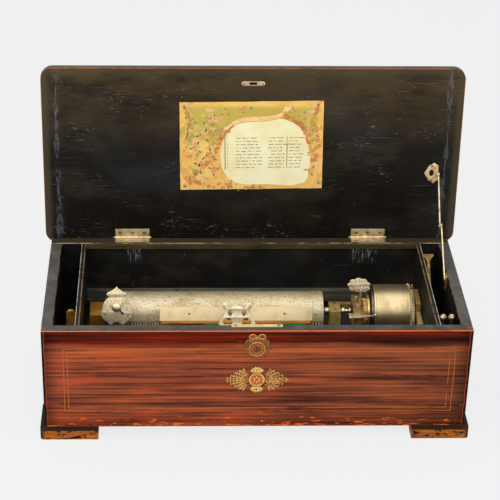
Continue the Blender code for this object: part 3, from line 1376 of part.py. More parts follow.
half_tooth_share = 0.5
thread_phase_share = 0.25
thread_half_share = 0.2045
thread_flank_share = 0.1515


# Tune indicator, control plate and zither
def tune_indicator(case, looks):
    x = across(TUNE_X)
    centre_z = BODY_Z + TUNE_LIFT
    tilt = -math.radians(TUNE_TILT_DEG)
    half = [(TUNE_R * a, TUNE_R * b) for a, b in tune_plate_shares]
    outline = half + [(-a, b) for a, b in reversed(half[1:-1])]
    plate = sheet([outline, circle(GEAR_SHAFT_R + FIT, SMALL_SIDES)], 0.0, TUNE_THICK, "XZ")
    turn_about(plate, (0, 0, 0), tilt)
    back = TUNE_THICK / math.cos(tilt)
    post_top = -KNOB_R
    half_post = POST_WIDTH / 2
    post_y = post_top * math.tan(-tilt) + back / 2
    stand = STAND_Z - centre_z
    post = slab((-half_post, post_y, stand), (half_post, post_y + POST_THICK, post_top))
    post_foot = slab((-half_post, post_y, stand), (half_post, TUNE_R / 2, stand + POST_THICK))
    shape = joined(plate, post, post_foot)
    bmesh.ops.translate(shape, vec=(x, TUNE_Y, centre_z), verts=shape.verts)
    piece("tune_plate", shape, looks["nickel"], case)

    dial = frame_at("tune_pointer_axis", case, (x, TUNE_Y, centre_z), (tilt, 0, 0))
    profile = [(TUNE_THICK, 0.0), (TUNE_THICK, GEAR_SHAFT_R), (-FIT, GEAR_SHAFT_R)]
    profile += [(-KNOB_HEIGHT * out, KNOB_R * wide) for out, wide in knob_shares]
    knob = turned(profile, ROUND_SIDES, "Y")
    root = KNOB_R / 2
    hand = sheet([[(root, -POINTER_ROOT), (POINTER_LENGTH, -POINTER_TIP),
                   (POINTER_LENGTH, POINTER_TIP), (root, POINTER_ROOT)]],
                 -POINTER_FRONT, -POINTER_BACK, "XZ")
    turn_about(hand, (0, 0, 0), math.radians(POINTER_REST_DEG), "Y")
    piece("tune_pointer", joined(knob, hand), looks["nickel"], dial, smooth=True)


knob_shares = [(0.043, 0.7), (0.2, 0.7), (0.32, 1.0), (0.8, 0.9), (1.0, 0.5), (1.0, 0.0)]
tune_plate_shares = [(0.0, 1.67), (0.16, 1.52), (0.42, 1.34), (0.60, 1.16), (0.66, 0.98),
                     (0.52, 0.84), (0.58, 0.74), (0.80, 0.56), (0.96, 0.28), (1.02, 0.02),
                     (1.20, -0.22), (1.16, -0.34), (1.02, -0.46), (0.92, -0.70), (0.66, -0.88),
                     (0.60, -1.02), (0.40, -0.94), (0.18, -0.98), (0.0, -0.90)]


def control_plate(case, looks):
    x = inward(CONTROL_FROM_RIGHT)
    base_z = BODY_Z + CONTROL_BASE_LIFT
    tilt = -math.radians(CONTROL_TILT_DEG)
    outline = []
    count = CONTROL_LOBES * LOBE_STEPS
    for step in range(count):
        angle = 2 * math.pi * step / count
        swell = 1.0 - scallop_share * (1 + math.cos(CONTROL_LOBES * angle)) / 2
        outline.append((CONTROL_WIDTH / 2 * swell * math.cos(angle),
                        CONTROL_HEIGHT / 2 * (1 + swell * math.sin(angle))))
    plate = sheet([outline], 0.0, TUNE_THICK, "XZ")
    turn_about(plate, (0, 0, 0), tilt)
    bmesh.ops.translate(plate, vec=(x, CONTROL_Y, base_z), verts=plate.verts)
    stem_low = AXIS_Z + FRAME_TOP + FIT
    stem_x = x + STEM_ASIDE
    stem_y = CONTROL_Y + STEM_RISE * math.tan(-tilt)
    stem = slab((stem_x, stem_y, stem_low),
                (stem_x + STEM_WIDTH, stem_y + STEM_THICK, base_z + STEM_RISE))
    foot = slab((x - TUNE_THICK, CONTROL_Y, stem_low),
                (stem_x + STEM_WIDTH, CONTROL_Y + CONTROL_HEIGHT / 2, stem_low + TUNE_THICK))
    piece("control_plate", joined(plate, stem, foot), looks["nickel"], case)


scallop_share = 0.055


def zither(case, looks):
    """A paper roll that can be laid on the comb's teeth, hung from a lyre-shaped bracket."""
    pivot_z = comb_top() + ZITHER_RISE
    roots = comb_tip_y() - TOOTH_LENGTH
    low_y = roots - ZITHER_BASE_DEPTH
    half_base = ZITHER_BASE_WIDTH / 2
    half_arm = ZITHER_ARM_WIDTH / 2
    base = slab((ZITHER_X - half_base, low_y, comb_top() + FIT),
                (ZITHER_X + half_base, roots - COMB_ROOT_SETBACK, comb_top() + ZITHER_RISE))
    arm = slab((ZITHER_X - half_arm, low_y, pivot_z - TUNE_THICK),
               (ZITHER_X + half_arm, ZITHER_Y, pivot_z + TUNE_THICK))
    knuckle = rod(ZITHER_X - half_arm, ZITHER_X + half_arm, ZITHER_EYE_R, "X",
                  (0, ZITHER_Y, pivot_z))
    half_pin = ZITHER_PIN_LENGTH / 2
    pin = rod(ZITHER_X - half_pin, ZITHER_X + half_pin, ZITHER_PIN_R, "X",
              (0, ZITHER_Y, pivot_z))
    piece("zither_base", joined(base, arm, knuckle, pin), looks["nickel"], case)

    swing = frame_at("zither_axis", case, (0, ZITHER_Y, pivot_z))
    tilt = -math.radians(ZITHER_TILT_DEG)
    half = [(LYRE_WIDTH / 2 * a, LYRE_HEIGHT * b) for a, b in lyre_shares]
    outline = [(ZITHER_X + a, b) for a, b in half + [(-a, b) for a, b in reversed(half)]]
    slots = [[(ZITHER_X + side * LYRE_WIDTH / 2 * a, LYRE_HEIGHT * b) for a, b in slot_shares]
             for side in (-1, 1)]
    lyre = sheet([outline] + slots, -LYRE_THICK / 2, LYRE_THICK / 2, "XZ")
    turn_about(lyre, (0, 0, 0), tilt)
    eyes = []
    for side in (-1, 1):
        middle = ZITHER_X + side * ZITHER_EYE_OUT
        eyes.append(tube(middle - ZITHER_EYE_HALF, middle + ZITHER_EYE_HALF, ZITHER_EYE_R,
                         ZITHER_PIN_R + RUNNING, sides=SMALL_SIDES))
    bore = rod(ZITHER_X - LYRE_WIDTH, ZITHER_X + LYRE_WIDTH, ZITHER_PIN_R + RUNNING, "X")
    lyre = cut(joined(lyre, *eyes), bore)
    piece("zither_bracket", lyre, looks["nickel"], swing)

    behind = LYRE_THICK / 2 + FIT
    plate = slab((across(ZITHER_LEFT), behind, ZITHER_PLATE_LIFT),
                 (inward(ZITHER_FROM_RIGHT), behind + LYRE_THICK,
                  ZITHER_PLATE_LIFT + ZITHER_PLATE_HEIGHT))
    turn_about(plate, (0, 0, 0), tilt)
    piece("zither_plate", plate, looks["nickel"], swing)

    roll_y = behind + LYRE_THICK + FIT + ROLL_R
    roll = rod(across(ZITHER_LEFT) + ROLL_R, inward(ZITHER_FROM_RIGHT) - ROLL_R, ROLL_R, "X",
               (0, roll_y, ROLL_LIFT))
    turn_about(roll, (0, 0, 0), tilt)
    piece("zither_roll", roll, looks["paper"], swing, smooth=True)


lyre_shares = [(0.10, 0.30), (0.16, 0.14), (0.30, 0.06), (0.40, 0.10), (0.46, 0.16),
               (0.92, 0.12), (1.0, 0.20), (0.84, 0.30), (0.60, 0.52), (0.56, 0.70),
               (0.70, 0.84), (0.62, 0.98), (0.44, 0.86), (0.20, 0.80), (0.06, 0.84)]
slot_shares = [(0.18, 0.36), (0.40, 0.26), (0.44, 0.42), (0.34, 0.62), (0.22, 0.70)]


# Levers
def stop_lever(case, looks):
    """A flat tapered lever above the governor; a finger on it stops the fan."""
    pivot_x = inward(FRAME_FROM_RIGHT) + FRAME_WIDTH / 2
    pivot_y = FRAME_FRONT_Y + FRAME_LEG / 2
    seat = AXIS_Z + FRAME_TOP + FIT
    axis = frame_at("stop_lever_axis", case, (pivot_x, pivot_y, seat))
    outline = [(-STOP_BACK, -STOP_WIDTH / 2), (0.0, -STOP_WAIST_LOW), (STOP_FRONT, -STOP_THICK / 2),
               (STOP_FRONT, STOP_THICK / 2), (0.0, STOP_WAIST_HIGH), (-STOP_BACK, STOP_WIDTH / 2)]
    shape = sheet([outline], 0.0, STOP_THICK)
    tip = ball((STOP_FRONT + STOP_BALL_OUT, 0, STOP_BALL_UP), STOP_BALL_R)
    head = rod(0.0, 2 * STOP_THICK, STOP_SCREW_R, "Z")
    piece("stop_lever", joined(shape, tip, head), looks["nickel"], axis)


def hand_levers(case, looks):
    pivot_z = BODY_Z + CONTROL_PIVOT_LIFT
    height = CONTROL_LEVER_TOP - CONTROL_PIVOT_LIFT
    start_x = inward(START_FROM_RIGHT)
    repeat_x = inward(REPEAT_FROM_RIGHT)
    middle = (start_x + repeat_x) / 2
    half = CONTROL_LEVER_THICK / 2
    post_half = (repeat_x - start_x) / 2 - half - LEVER_SIDE_PLAY
    post = slab((middle - post_half, CONTROL_LEVER_Y - CONTROL_LEVER_BREADTH, FLOOR_Z + FIT),
                (middle + post_half, CONTROL_LEVER_Y + CONTROL_LEVER_BREADTH,
                 pivot_z + CONTROL_LEVER_BREADTH))
    pin = rod(start_x - half - LEVER_SIDE_PLAY, repeat_x + half + LEVER_SIDE_PLAY, STAY_PIN_R, "X",
              (0, CONTROL_LEVER_Y, pivot_z))
    piece("control_bracket", joined(post, pin), looks["brass"], case)
    for name, x, look in (("start_lever", start_x, looks["brass"]),
                          ("repeat_lever", repeat_x, looks["nickel"])):
        axis = frame_at(name + "_axis", case, (x, CONTROL_LEVER_Y, pivot_z))
        outline = arc(LEVER_EYE_R, QUARTER_DEG + LEVER_NECK_DEG,
                      2 * HALF_DEG + QUARTER_DEG - LEVER_NECK_DEG, EYE_STEPS)
        outline += [(LEVER_TIP_HALF, height), (-LEVER_TIP_HALF, height)]
        shape = sheet([outline, circle(STAY_PIN_R + RUNNING, SMALL_SIDES)], -half, half, "YZ")
        knob = ball((0, 0, height + CONTROL_KNOB_LIFT), CONTROL_KNOB_R)
        piece(name, joined(shape, knob), look, axis, smooth=True)


def change_lever(case, looks):
    """The tab in the left bay that moves the cylinder on to the next tune."""
    pivot_z = BODY_Z + CHANGE_PIVOT_LIFT
    axis = frame_at("change_lever_axis", case, (across(CHANGE_X), CHANGE_Y, pivot_z))
    height = CHANGE_TOP - CHANGE_PIVOT_LIFT
    radius = CHANGE_WIDTH / 2
    outline = arc(radius, 0, HALF_DEG, EYE_STEPS, (0.0, height - radius))
    outline += [(-radius, 0.0), (radius, 0.0)]
    hole = circle(CHANGE_HOLE_R, SMALL_SIDES, (CHANGE_HOLE_ASIDE, height - radius))
    tab = sheet([outline, hole], -CHANGE_THICK / 2, CHANGE_THICK / 2, "XZ")
    spindle = rod(INNER_LEFT + FIT - across(CHANGE_X), LEFT_PARTITION - FIT - across(CHANGE_X),
                  CHANGE_SPINDLE_R)
    piece("change_lever", joined(tab, spindle), looks["gilt"], axis)


def build():
    clear_scene()
    looks = finishes()
    case = frame_at("case_frame", None, (0, FRONT_Y, 0))
    lid = frame_at("lid_hinge_axis", case, (0, HINGE_Y, HINGE_Z), (-LID_OPEN, 0, 0))
    wooden_case(case, looks)
    bracket_feet(case, looks)
    partitions_and_rails(case, looks)
    lid_panel(lid, looks)
    tune_card(lid, looks)
    hinges(case, lid, looks)
    lid_stay(case, lid, looks)
    lock(case, looks)
    drive = cylinder_group(case, looks)
    bearings(case, looks)
    comb(case, looks)
    spring_drive(case, drive, looks)
    barrel_bearing(case, looks)
    winding_pieces(case, looks)
    governor(case, looks)
    tune_indicator(case, looks)
    control_plate(case, looks)
    zither(case, looks)
    stop_lever(case, looks)
    hand_levers(case, looks)
    change_lever(case, looks)
    low_turn, high_turn = stay_turns()
    print("stay arms turn", round(math.degrees(low_turn), 4), round(math.degrees(high_turn), 4))


build()
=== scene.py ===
# %% [markdown]
# A lever-wound music box: a long wooden case with its lid open, a pinned cylinder and a spring
# barrel on one axis behind a steel comb. The CAD solids arrive first as a fixed frame, already at
# their real size in metres, so everything below is placed by asking the frame where things are.

# %% Load the frame
import json
import math
import random

import bpy
import numpy as np
from mathutils import Matrix, Vector

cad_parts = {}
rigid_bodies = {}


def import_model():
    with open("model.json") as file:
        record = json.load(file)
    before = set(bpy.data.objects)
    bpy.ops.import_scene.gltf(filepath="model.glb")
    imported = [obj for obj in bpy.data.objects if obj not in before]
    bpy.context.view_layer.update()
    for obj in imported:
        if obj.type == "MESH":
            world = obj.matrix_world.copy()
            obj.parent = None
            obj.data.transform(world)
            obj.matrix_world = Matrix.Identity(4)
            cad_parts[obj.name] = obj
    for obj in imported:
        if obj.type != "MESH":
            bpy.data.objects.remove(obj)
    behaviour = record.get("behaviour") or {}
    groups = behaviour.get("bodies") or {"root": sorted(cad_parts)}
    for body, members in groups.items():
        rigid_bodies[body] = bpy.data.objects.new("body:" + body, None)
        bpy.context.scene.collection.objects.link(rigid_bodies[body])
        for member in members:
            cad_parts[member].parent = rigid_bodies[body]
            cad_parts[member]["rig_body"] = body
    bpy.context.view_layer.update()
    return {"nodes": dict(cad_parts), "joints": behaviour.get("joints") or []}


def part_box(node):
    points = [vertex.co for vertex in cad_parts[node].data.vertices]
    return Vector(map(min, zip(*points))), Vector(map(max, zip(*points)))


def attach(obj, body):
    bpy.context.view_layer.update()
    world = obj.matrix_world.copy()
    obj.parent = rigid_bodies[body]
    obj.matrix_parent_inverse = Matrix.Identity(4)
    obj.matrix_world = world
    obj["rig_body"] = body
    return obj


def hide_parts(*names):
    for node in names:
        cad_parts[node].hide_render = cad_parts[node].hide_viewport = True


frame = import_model()
print("solids in the frame:", len(frame["nodes"]))

# %% [markdown]
# A few sizes come back again and again: the floor, the rim of the case and the axis of the
# hinges. They are read from the solids, or worked out from a joint, so they can't drift apart.

# %% Measure the frame
MM = 0.001
case_low, case_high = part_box("front_board")
FRONT = case_low.y
RIM = case_high.z
CASE_BOTTOM = case_low.z
CASE_LEFT = case_low.x
CASE_RIGHT = case_high.x
joints = {joint["name"]: joint for joint in frame["joints"]}
HINGE = Vector(joints["lid_hinge"]["pos_m"])
AXIS = Vector(joints["cylinder_spin"]["pos_m"])
LID_LEAN = 3.5
print("rim at", round(RIM, 4), "hinge at", tuple(round(v, 4) for v in HINGE))

# %% [markdown]
# The camera repeats the photographer's: fitted to the edges of the case, it looks down by about
# thirty degrees from two metres away through a long lens. A camera looks along its own -Z, so
# its matrix is built from three directions: right, up and backwards.

# %% Camera
CAMERA_PLACE = (-0.1136, -1.9668, 1.3401)
CAMERA_YAW = 0.0321
CAMERA_PITCH = 0.5218
CAMERA_ROLL = 0.0155
CAMERA_LENS = 121.34
CAMERA_SHIFT = 0.0664

flat_way = math.cos(CAMERA_PITCH)
ahead = Vector((math.sin(CAMERA_YAW) * flat_way, math.cos(CAMERA_YAW) * flat_way,
    -math.sin(CAMERA_PITCH)))
level = Vector((math.cos(CAMERA_YAW), -math.sin(CAMERA_YAW), 0.0))
upward = level.cross(ahead)
right_way = math.cos(CAMERA_ROLL) * level + math.sin(CAMERA_ROLL) * upward
up_way = math.cos(CAMERA_ROLL) * upward - math.sin(CAMERA_ROLL) * level
bpy.ops.object.camera_add(location=(0, 0, 0))
camera = bpy.context.active_object
camera.matrix_world = Matrix.Translation(CAMERA_PLACE) @ Matrix((right_way, up_way,
    -ahead)).transposed().to_4x4()
camera.data.lens = CAMERA_LENS
camera.data.shift_x = CAMERA_SHIFT
camera.data.clip_end = 50
bpy.context.scene.camera = camera
print("camera", tuple(round(v, 3) for v in camera.location))

# %% [markdown]
# Materials are small networks of nodes. These helpers add a node and join it up, so that a
# finish reads like a recipe: where on the piece, which pattern, which colours. A node's output
# is wrapped in a Value, so that outputs can be added and multiplied like numbers. Every pattern
# is given the real length of its features, because wood grain is 2 mm wide whatever it is on.

# %% Node helpers
def wire(tree, kind, inputs=None, **settings):
    """Add a node, set it up, and feed its inputs with numbers, colours or values."""
    made = tree.nodes.new(kind)
    for key, value in settings.items():
        setattr(made, key, value)
    for key, value in (inputs or {}).items():
        if isinstance(value, Value):
            tree.links.new(value.socket, made.inputs[key])
        else:
            made.inputs[key].default_value = value
    return made


def reckoned(kind, first, second=0.0):
    tree = (first if isinstance(first, Value) else second).tree
    return Value(wire(tree, "ShaderNodeMath", {0: first, 1: second}, operation=kind).outputs[0])


def larger(first, second):
    return reckoned("MAXIMUM", first, second)


class Value:
    """A node's output that can be reckoned with like a number; its socket knows its tree."""

    def __init__(self, socket):
        self.socket = socket
        self.tree = socket.id_data

    def __add__(self, other):
        return reckoned("ADD", self, other)

    def __sub__(self, other):
        return reckoned("SUBTRACT", self, other)

    def __rsub__(self, other):
        return reckoned("SUBTRACT", other, self)

    def __mul__(self, other):
        return reckoned("MULTIPLY", self, other)

    def __truediv__(self, other):
        return reckoned("DIVIDE", self, other)

    def __abs__(self):
        return reckoned("ABSOLUTE", self)

    def along(self, letter):
        return Value(wire(self.tree, "ShaderNodeSeparateXYZ", {0: self}).outputs[letter])

    x = property(lambda self: self.along("X"))
    y = property(lambda self: self.along("Y"))
    z = property(lambda self: self.along("Z"))


def cloud(place, lengths, detail=3.0, seed=0.0, rough=0.5, bend=0.0):
    """A noise from 0 to 1 whose spots have these lengths along X, Y and Z, in metres."""
    scale = tuple(1 / length for length in lengths)
    moved = wire(place.tree, "ShaderNodeMapping", {"Vector": place, "Scale": scale,
        "Location": (seed, seed, seed)})
    return Value(wire(place.tree, "ShaderNodeTexNoise", {"Vector": Value(moved.outputs[0]),
        "Scale": 1.0, "Detail": detail, "Roughness": rough, "Distortion": bend}).outputs[0])


def even_cloud(place, size, detail=3.0, seed=0.0, rough=0.5, bend=0.0):
    """A noise whose spots are as long in every direction."""
    return cloud(place, (size, size, size), detail, seed, rough, bend)


def ramp(value, low, high, start=0.0, end=1.0):
    """Straighten a value between low and high to a share from start to end."""
    return Value(wire(value.tree, "ShaderNodeMapRange", {"Value": value, "From Min": low,
        "From Max": high, "To Min": start, "To Max": end}).outputs[0])


def tint(share, first, second, kind="MIX"):
    """Mix two colours by a share."""
    colours = [(*c, 1.0) if isinstance(c, tuple) else c for c in (first, second)]
    return Value(wire(share.tree, "ShaderNodeMix", {0: share, 6: colours[0], 7: colours[1]},
        data_type="RGBA", blend_type=kind).outputs[2])


def shades(value, stops):
    """A colour ramp: stops are pairs of a share and a colour."""
    made = wire(value.tree, "ShaderNodeValToRGB", {0: value})
    band = made.color_ramp
    while len(band.elements) < len(stops):
        band.elements.new(0.5)
    for element, (share, colour) in zip(band.elements, stops):
        element.position = share
        element.color = (*colour, 1.0)
    return Value(made.outputs[0])


def relief(height, depth, strength=0.5):
    return Value(wire(height.tree, "ShaderNodeBump", {"Height": height, "Distance": depth,
        "Strength": strength}).outputs[0])


def new_finish(name, metallic=0.0, shine=0.5):
    """A material with its shader and the place on the piece."""
    material = bpy.data.materials.new(name)
    material.use_nodes = True
    shader = material.node_tree.nodes["Principled BSDF"]
    shader.inputs["Metallic"].default_value = metallic
    shader.inputs["Specular IOR Level"].default_value = shine
    place = wire(material.node_tree, "ShaderNodeTexCoord").outputs["Object"]
    return (material, shader, Value(place))


def feed(shader, colour=None, roughness=None, normal=None):
    for name, value in (("Base Color", colour), ("Roughness", roughness), ("Normal", normal)):
        if isinstance(value, Value):
            value.tree.links.new(value.socket, shader.inputs[name])
        elif value is not None:
            shader.inputs[name].default_value = value


print("node helpers ready")

# %% [markdown]
# The room: a pale floor that runs into a pale backdrop, a broad soft lamp overhead and a weaker
# one from the left. The background's tone comes from what camera and mirror rays see there, not
# from more light, so black lacquer stays black and the floor still takes the box's shadow.

# %% Room
ROOM_TONE = (0.885, 0.885, 0.885)
FLOOR_TONE = (0.8, 0.8, 0.8)
SKY_LIGHT = 0.55
SHADOW_SHARE = 0.1


def seen_share(tree):
    """1 for rays that come from the camera, a mirror or glass."""
    rays = wire(tree, "ShaderNodeLightPath").outputs
    camera_ray, glossy_ray, glass_ray = (Value(rays[word]) for word in ("Is Camera Ray",
        "Is Glossy Ray", "Is Transmission Ray"))
    return larger(larger(camera_ray, glossy_ray), glass_ray)


world = bpy.data.worlds.new("studio")
bpy.context.scene.world = world
world.use_nodes = True
sky = world.node_tree
strength = ramp(seen_share(sky), 0.0, 1.0, SKY_LIGHT, 1.0)
backdrop = sky.nodes["Background"]
backdrop.inputs["Color"].default_value = (*ROOM_TONE, 1.0)
sky.links.new(strength.socket, backdrop.inputs["Strength"])

bpy.ops.mesh.primitive_plane_add(size=12.0, location=(0, 2.0, -0.0006))
floor = bpy.context.active_object
floor.name = "floor"
paper, shader, place = new_finish("paper_floor")
feed(shader, tint(even_cloud(place, 0.5), FLOOR_TONE, (0.82, 0.82, 0.82)), 0.9)
tree = paper.node_tree
glow = wire(tree, "ShaderNodeEmission", {"Color": (*ROOM_TONE, 1.0), "Strength": 1.0})
share = ramp(seen_share(tree), 0.0, 1.0, 0.0, 1.0 - SHADOW_SHARE)
merged = wire(tree, "ShaderNodeMixShader", {0: share, 1: Value(shader.outputs[0]),
    2: Value(glow.outputs[0])})
tree.links.new(merged.outputs[0], tree.nodes["Material Output"].inputs["Surface"])
floor.data.materials.append(paper)

lamps = (("overhead", (-0.3, -0.5, 2.2), 3.6, 46.0), ("left_window", (-1.9, -1.4, 1.9), 2.0, 13.0),
    ("front_fill", (0.5, -2.6, 2.0), 2.6, 14.0))
for name, spot, width, power in lamps:
    bpy.ops.object.light_add(type="AREA", location=spot)
    lamp = bpy.context.active_object
    lamp.name = name
    lamp.data.shape = "DISK"
    lamp.data.size = width
    lamp.data.energy = power
    lamp.rotation_euler = (Vector((0, 0, 0.15)) - Vector(spot)).to_track_quat("-Z", "Y").to_euler()
bpy.context.scene.view_settings.view_transform = "Standard"
print("lamps:", len(lamps))

# %% [markdown]
# New pieces are made as by hand: add a primitive, go into edit mode, select a few faces by their
# place, inset or extrude them, and finish with a modifier. An operator works on whatever is
# selected, so each helper starts by selecting one piece and nothing else.

# %% Modelling helpers
def chosen(piece):
    """Make one piece the only selected and the active one."""
    if bpy.context.mode != "OBJECT":
        bpy.ops.object.mode_set(mode="OBJECT")
    bpy.ops.object.select_all(action="DESELECT")
    piece.select_set(True)
    bpy.context.view_layer.objects.active = piece
    return piece


def edit_all(piece):
    chosen(piece)
    bpy.ops.object.mode_set(mode="EDIT")
    bpy.ops.mesh.select_all(action="SELECT")


def edit_faces(piece, test):
    """Edit mode with the faces selected whose centre and normal pass a test."""
    edit_all(piece)
    bpy.ops.mesh.select_mode(type="FACE")
    bpy.ops.mesh.select_all(action="DESELECT")
    bpy.ops.object.mode_set(mode="OBJECT")
    for face in piece.data.polygons:
        face.select = test(face.center, face.normal)
    bpy.ops.object.mode_set(mode="EDIT")


def leave():
    bpy.ops.object.mode_set(mode="OBJECT")


def changed(piece, kind, **settings):
    """Add a modifier, set it up and apply it."""
    chosen(piece)
    made = piece.modifiers.new(kind.title(), kind)
    for key, value in settings.items():
        setattr(made, key, value)
    bpy.ops.object.modifier_apply(modifier=made.name)
    return piece


def tidied(piece):
    """Weld double points and turn all faces outwards."""
    edit_all(piece)
    bpy.ops.mesh.remove_doubles(threshold=0.000005)
    bpy.ops.mesh.normals_make_consistent(inside=False)
    leave()
    return piece


def rounded(piece, width, segments=2, angle=35):
    return changed(piece, "BEVEL", width=width, segments=segments, limit_method="ANGLE",
        angle_limit=math.radians(angle), use_clamp_overlap=True)


def settled(piece):
    """Put a piece's place, turn and size into its mesh."""
    chosen(piece)
    bpy.ops.object.transform_apply(location=True, rotation=True, scale=True)
    return piece


def added(scale=(1, 1, 1)):
    """The piece that an operator has just added, with its scale and place in its mesh."""
    made = bpy.context.active_object
    made.scale = scale
    return settled(made)


def moved(piece, place=(0, 0, 0), turn=None):
    """Turn a piece's mesh and then move it."""
    piece.data.transform(Matrix.Translation(place) @ (turn or Matrix.Identity(4)))
    return piece


def turned(degrees, axis):
    return Matrix.Rotation(math.radians(degrees), 4, axis)


def in_mm(pairs, start=0.0):
    """Pairs in millimetres as metres, the first of each counted from a start."""
    return [(start + x * MM, y * MM) for x, y in pairs]


def pushed(piece, test, step):
    """Extrude the faces that pass a test by a step."""
    edit_faces(piece, test)
    bpy.ops.mesh.extrude_region_move(TRANSFORM_OT_translate={"value": step})
    leave()


def box(low, high):
    """A block between two corners."""
    middle = (Vector(low) + Vector(high)) / 2
    bpy.ops.mesh.primitive_cube_add(size=1.0, location=middle)
    return added(Vector(high) - Vector(low))


def bar(start, end, radius, sides=32):
    """A round bar between two points, with its ends closed."""
    middle = (Vector(start) + Vector(end)) / 2
    way = Vector(end) - Vector(start)
    bpy.ops.mesh.primitive_cylinder_add(vertices=sides, radius=radius, depth=way.length,
        location=middle, rotation=way.to_track_quat("Z", "Y").to_euler())
    return added()


def joined(pieces):
    """Join several pieces into the first."""
    chosen(pieces[0])
    for piece in pieces[1:]:
        piece.select_set(True)
    if len(pieces) > 1:
        bpy.ops.object.join()
    return bpy.context.active_object


def copied(piece, move=(0, 0, 0), turn_z=0.0):
    """A copy with its own mesh, moved and turned about Z before that."""
    made = piece.copy()
    made.data = piece.data.copy()
    bpy.context.scene.collection.objects.link(made)
    return moved(made, move, Matrix.Rotation(turn_z, 4, "Z"))


def lathed(profile, centre, axis="X", steps=96):
    """Spin a profile of (distance along the axis, radius) points into a closed turned piece."""
    line = [Vector((distance, radius, 0.0)) for distance, radius in profile]
    mesh = bpy.data.meshes.new("turned")
    mesh.from_pydata(line, [(i, i + 1) for i in range(len(line) - 1)], [])
    made = bpy.data.objects.new("turned", mesh)
    bpy.context.scene.collection.objects.link(made)
    edit_all(made)
    bpy.ops.mesh.spin(steps=steps, angle=2 * math.pi, center=(0, 0, 0), axis=(1, 0, 0))
    leave()
    tidied(made)
    turns = {"X": Matrix.Identity(4), "Y": Matrix.Rotation(math.pi / 2, 4, "Z"),
        "Z": Matrix.Rotation(-math.pi / 2, 4, "Y")}
    return moved(made, centre, turns[axis])


def cut_plate(outlines, thick, edge=0.0, smooth=False, steps=6):
    """A flat plate in the XY plane from closed outlines; those inside another become holes."""
    curve = bpy.data.curves.new("plate", "CURVE")
    curve.dimensions = "2D"
    curve.fill_mode = "BOTH"
    curve.extrude = thick / 2 - edge
    curve.bevel_depth = edge
    curve.bevel_resolution = 1
    curve.offset = -edge
    curve.resolution_u = steps
    for outline in outlines:
        if smooth:
            spline = curve.splines.new("BEZIER")
            spline.bezier_points.add(len(outline) - 1)
            for point, (x, y) in zip(spline.bezier_points, outline):
                point.co = (x, y, 0)
                point.handle_left_type = point.handle_right_type = "AUTO"
        else:
            spline = curve.splines.new("POLY")
            spline.points.add(len(outline) - 1)
            for point, (x, y) in zip(spline.points, outline):
                point.co = (x, y, 0, 1)
        spline.use_cyclic_u = True
    made = bpy.data.objects.new("plate", curve)
    bpy.context.scene.collection.objects.link(made)
    made.location = (0, 0, thick / 2)
    chosen(made)
    bpy.ops.object.convert(target="MESH")
    made = settled(bpy.context.active_object)
    return tidied(made)


def ring(radius, sides=32, centre=(0.0, 0.0)):
    turns = [2 * math.pi * step / sides for step in range(sides)]
    return [(centre[0] + radius * math.cos(turn), centre[1] + radius * math.sin(turn))
        for turn in turns]


def upright(piece, origin, lean_deg=0.0):
    """Stand a flat piece up: its Y becomes height, and it faces the front, leaning back."""
    return moved(piece, origin, turned(90 - lean_deg, "X"))


def on_lid(piece):
    """Lay a flat piece on the lid's inner face: X across, Y up from the hinge."""
    return upright(piece, (0, HINGE.y, HINGE.z), LID_LEAN)


def finished(piece, name, body, material, smooth_deg=32):
    """Name a piece, give it its finish and its body, and smooth what is meant to be round."""
    piece.name = name
    piece.data.name = name
    piece.data.materials.clear()
    piece.data.materials.append(material)
    chosen(piece)
    bpy.ops.object.shade_smooth_by_angle(angle=math.radians(smooth_deg))
    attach(piece, body)
    return piece


def dressed(material, *names):
    """Give CAD solids a finish; their meshes stay as they are."""
    for name in names:
        node = frame["nodes"][name]
        node.data.materials.clear()
        node.data.materials.append(material)


def refined(node, material, edge=0.0002, smooth_deg=32):
    """Stand a finer copy in for a CAD solid: the same shape with its edges broken."""
    source = frame["nodes"][node]
    copy = source.copy()
    copy.data = source.data.copy()
    bpy.context.scene.collection.objects.link(copy)
    copy.parent = None
    for key in list(copy.keys()):
        del copy[key]
    edit_all(copy)
    bpy.ops.mesh.remove_doubles(threshold=0.000002)
    bpy.ops.mesh.dissolve_limited(angle_limit=math.radians(0.5))
    leave()
    if copy.data.has_custom_normals:
        chosen(copy)
        bpy.ops.mesh.customdata_custom_splitnormals_clear()
    if edge:
        rounded(copy, edge)
    finished(copy, node + "_refined", source["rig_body"], material, smooth_deg)
    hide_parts(node)
    dressed(material, node)
    return copy


print("modelling helpers ready")

# %% [markdown]
# The front is softwood stained to pass for rosewood: dark and red streaks along the board, worn
# back to orange at the edges, with a thin double line around it. Long narrow noise makes the
# streaks, a second broad one the clouds between them, and the height on the board says where the
# stain has gone dark or has been knocked off.

# %% Stained front
STAIN = [(0.34, (0.052, 0.015, 0.009)), (0.44, (0.125, 0.03, 0.015)), (0.5, (0.225, 0.053, 0.023)),
    (0.56, (0.32, 0.07, 0.027)), (0.66, (0.5, 0.1, 0.034))]
STRINGS = ((0.0033, 0.0902, 0.2557, 0.0493), (0.0024, 0.0906, 0.2496, 0.044))
BARE_ORANGE = (0.8, 0.17, 0.018)
LACQUER = (0.01, 0.0095, 0.009)
RIM_SHEEN_GREY = (0.1, 0.093, 0.079)
RIM_OLIVE = (0.042, 0.031, 0.016)


def rim_sheen_and_nicks(place, below):
    """Painted grey sheen of the overhead light on the top of a board, olive towards the back, with dark
    nicks, over whatever covers its sides.
    """
    height = place.z
    on_top = ramp(height, RIM - 0.1 * MM, RIM - 0.03 * MM)
    patches = even_cloud(place, 0.02, 5.0, 3.0)
    # Painted reflection: the top face is lightened to grey, in patches, where it would mirror the
    # overhead light
    grey = tint(ramp(patches, 0.35, 0.65), (0.058, 0.056, 0.05), RIM_SHEEN_GREY)
    at_back = ramp(place.y, 0.09, 0.094)
    grey = tint(at_back, grey, RIM_OLIVE)
    nicks = ramp(even_cloud(place, 0.006, 3.0, 8.0), 0.66, 0.7)
    grey = tint(nicks, grey, (0.03, 0.026, 0.022))
    return tint(on_top, below, grey)


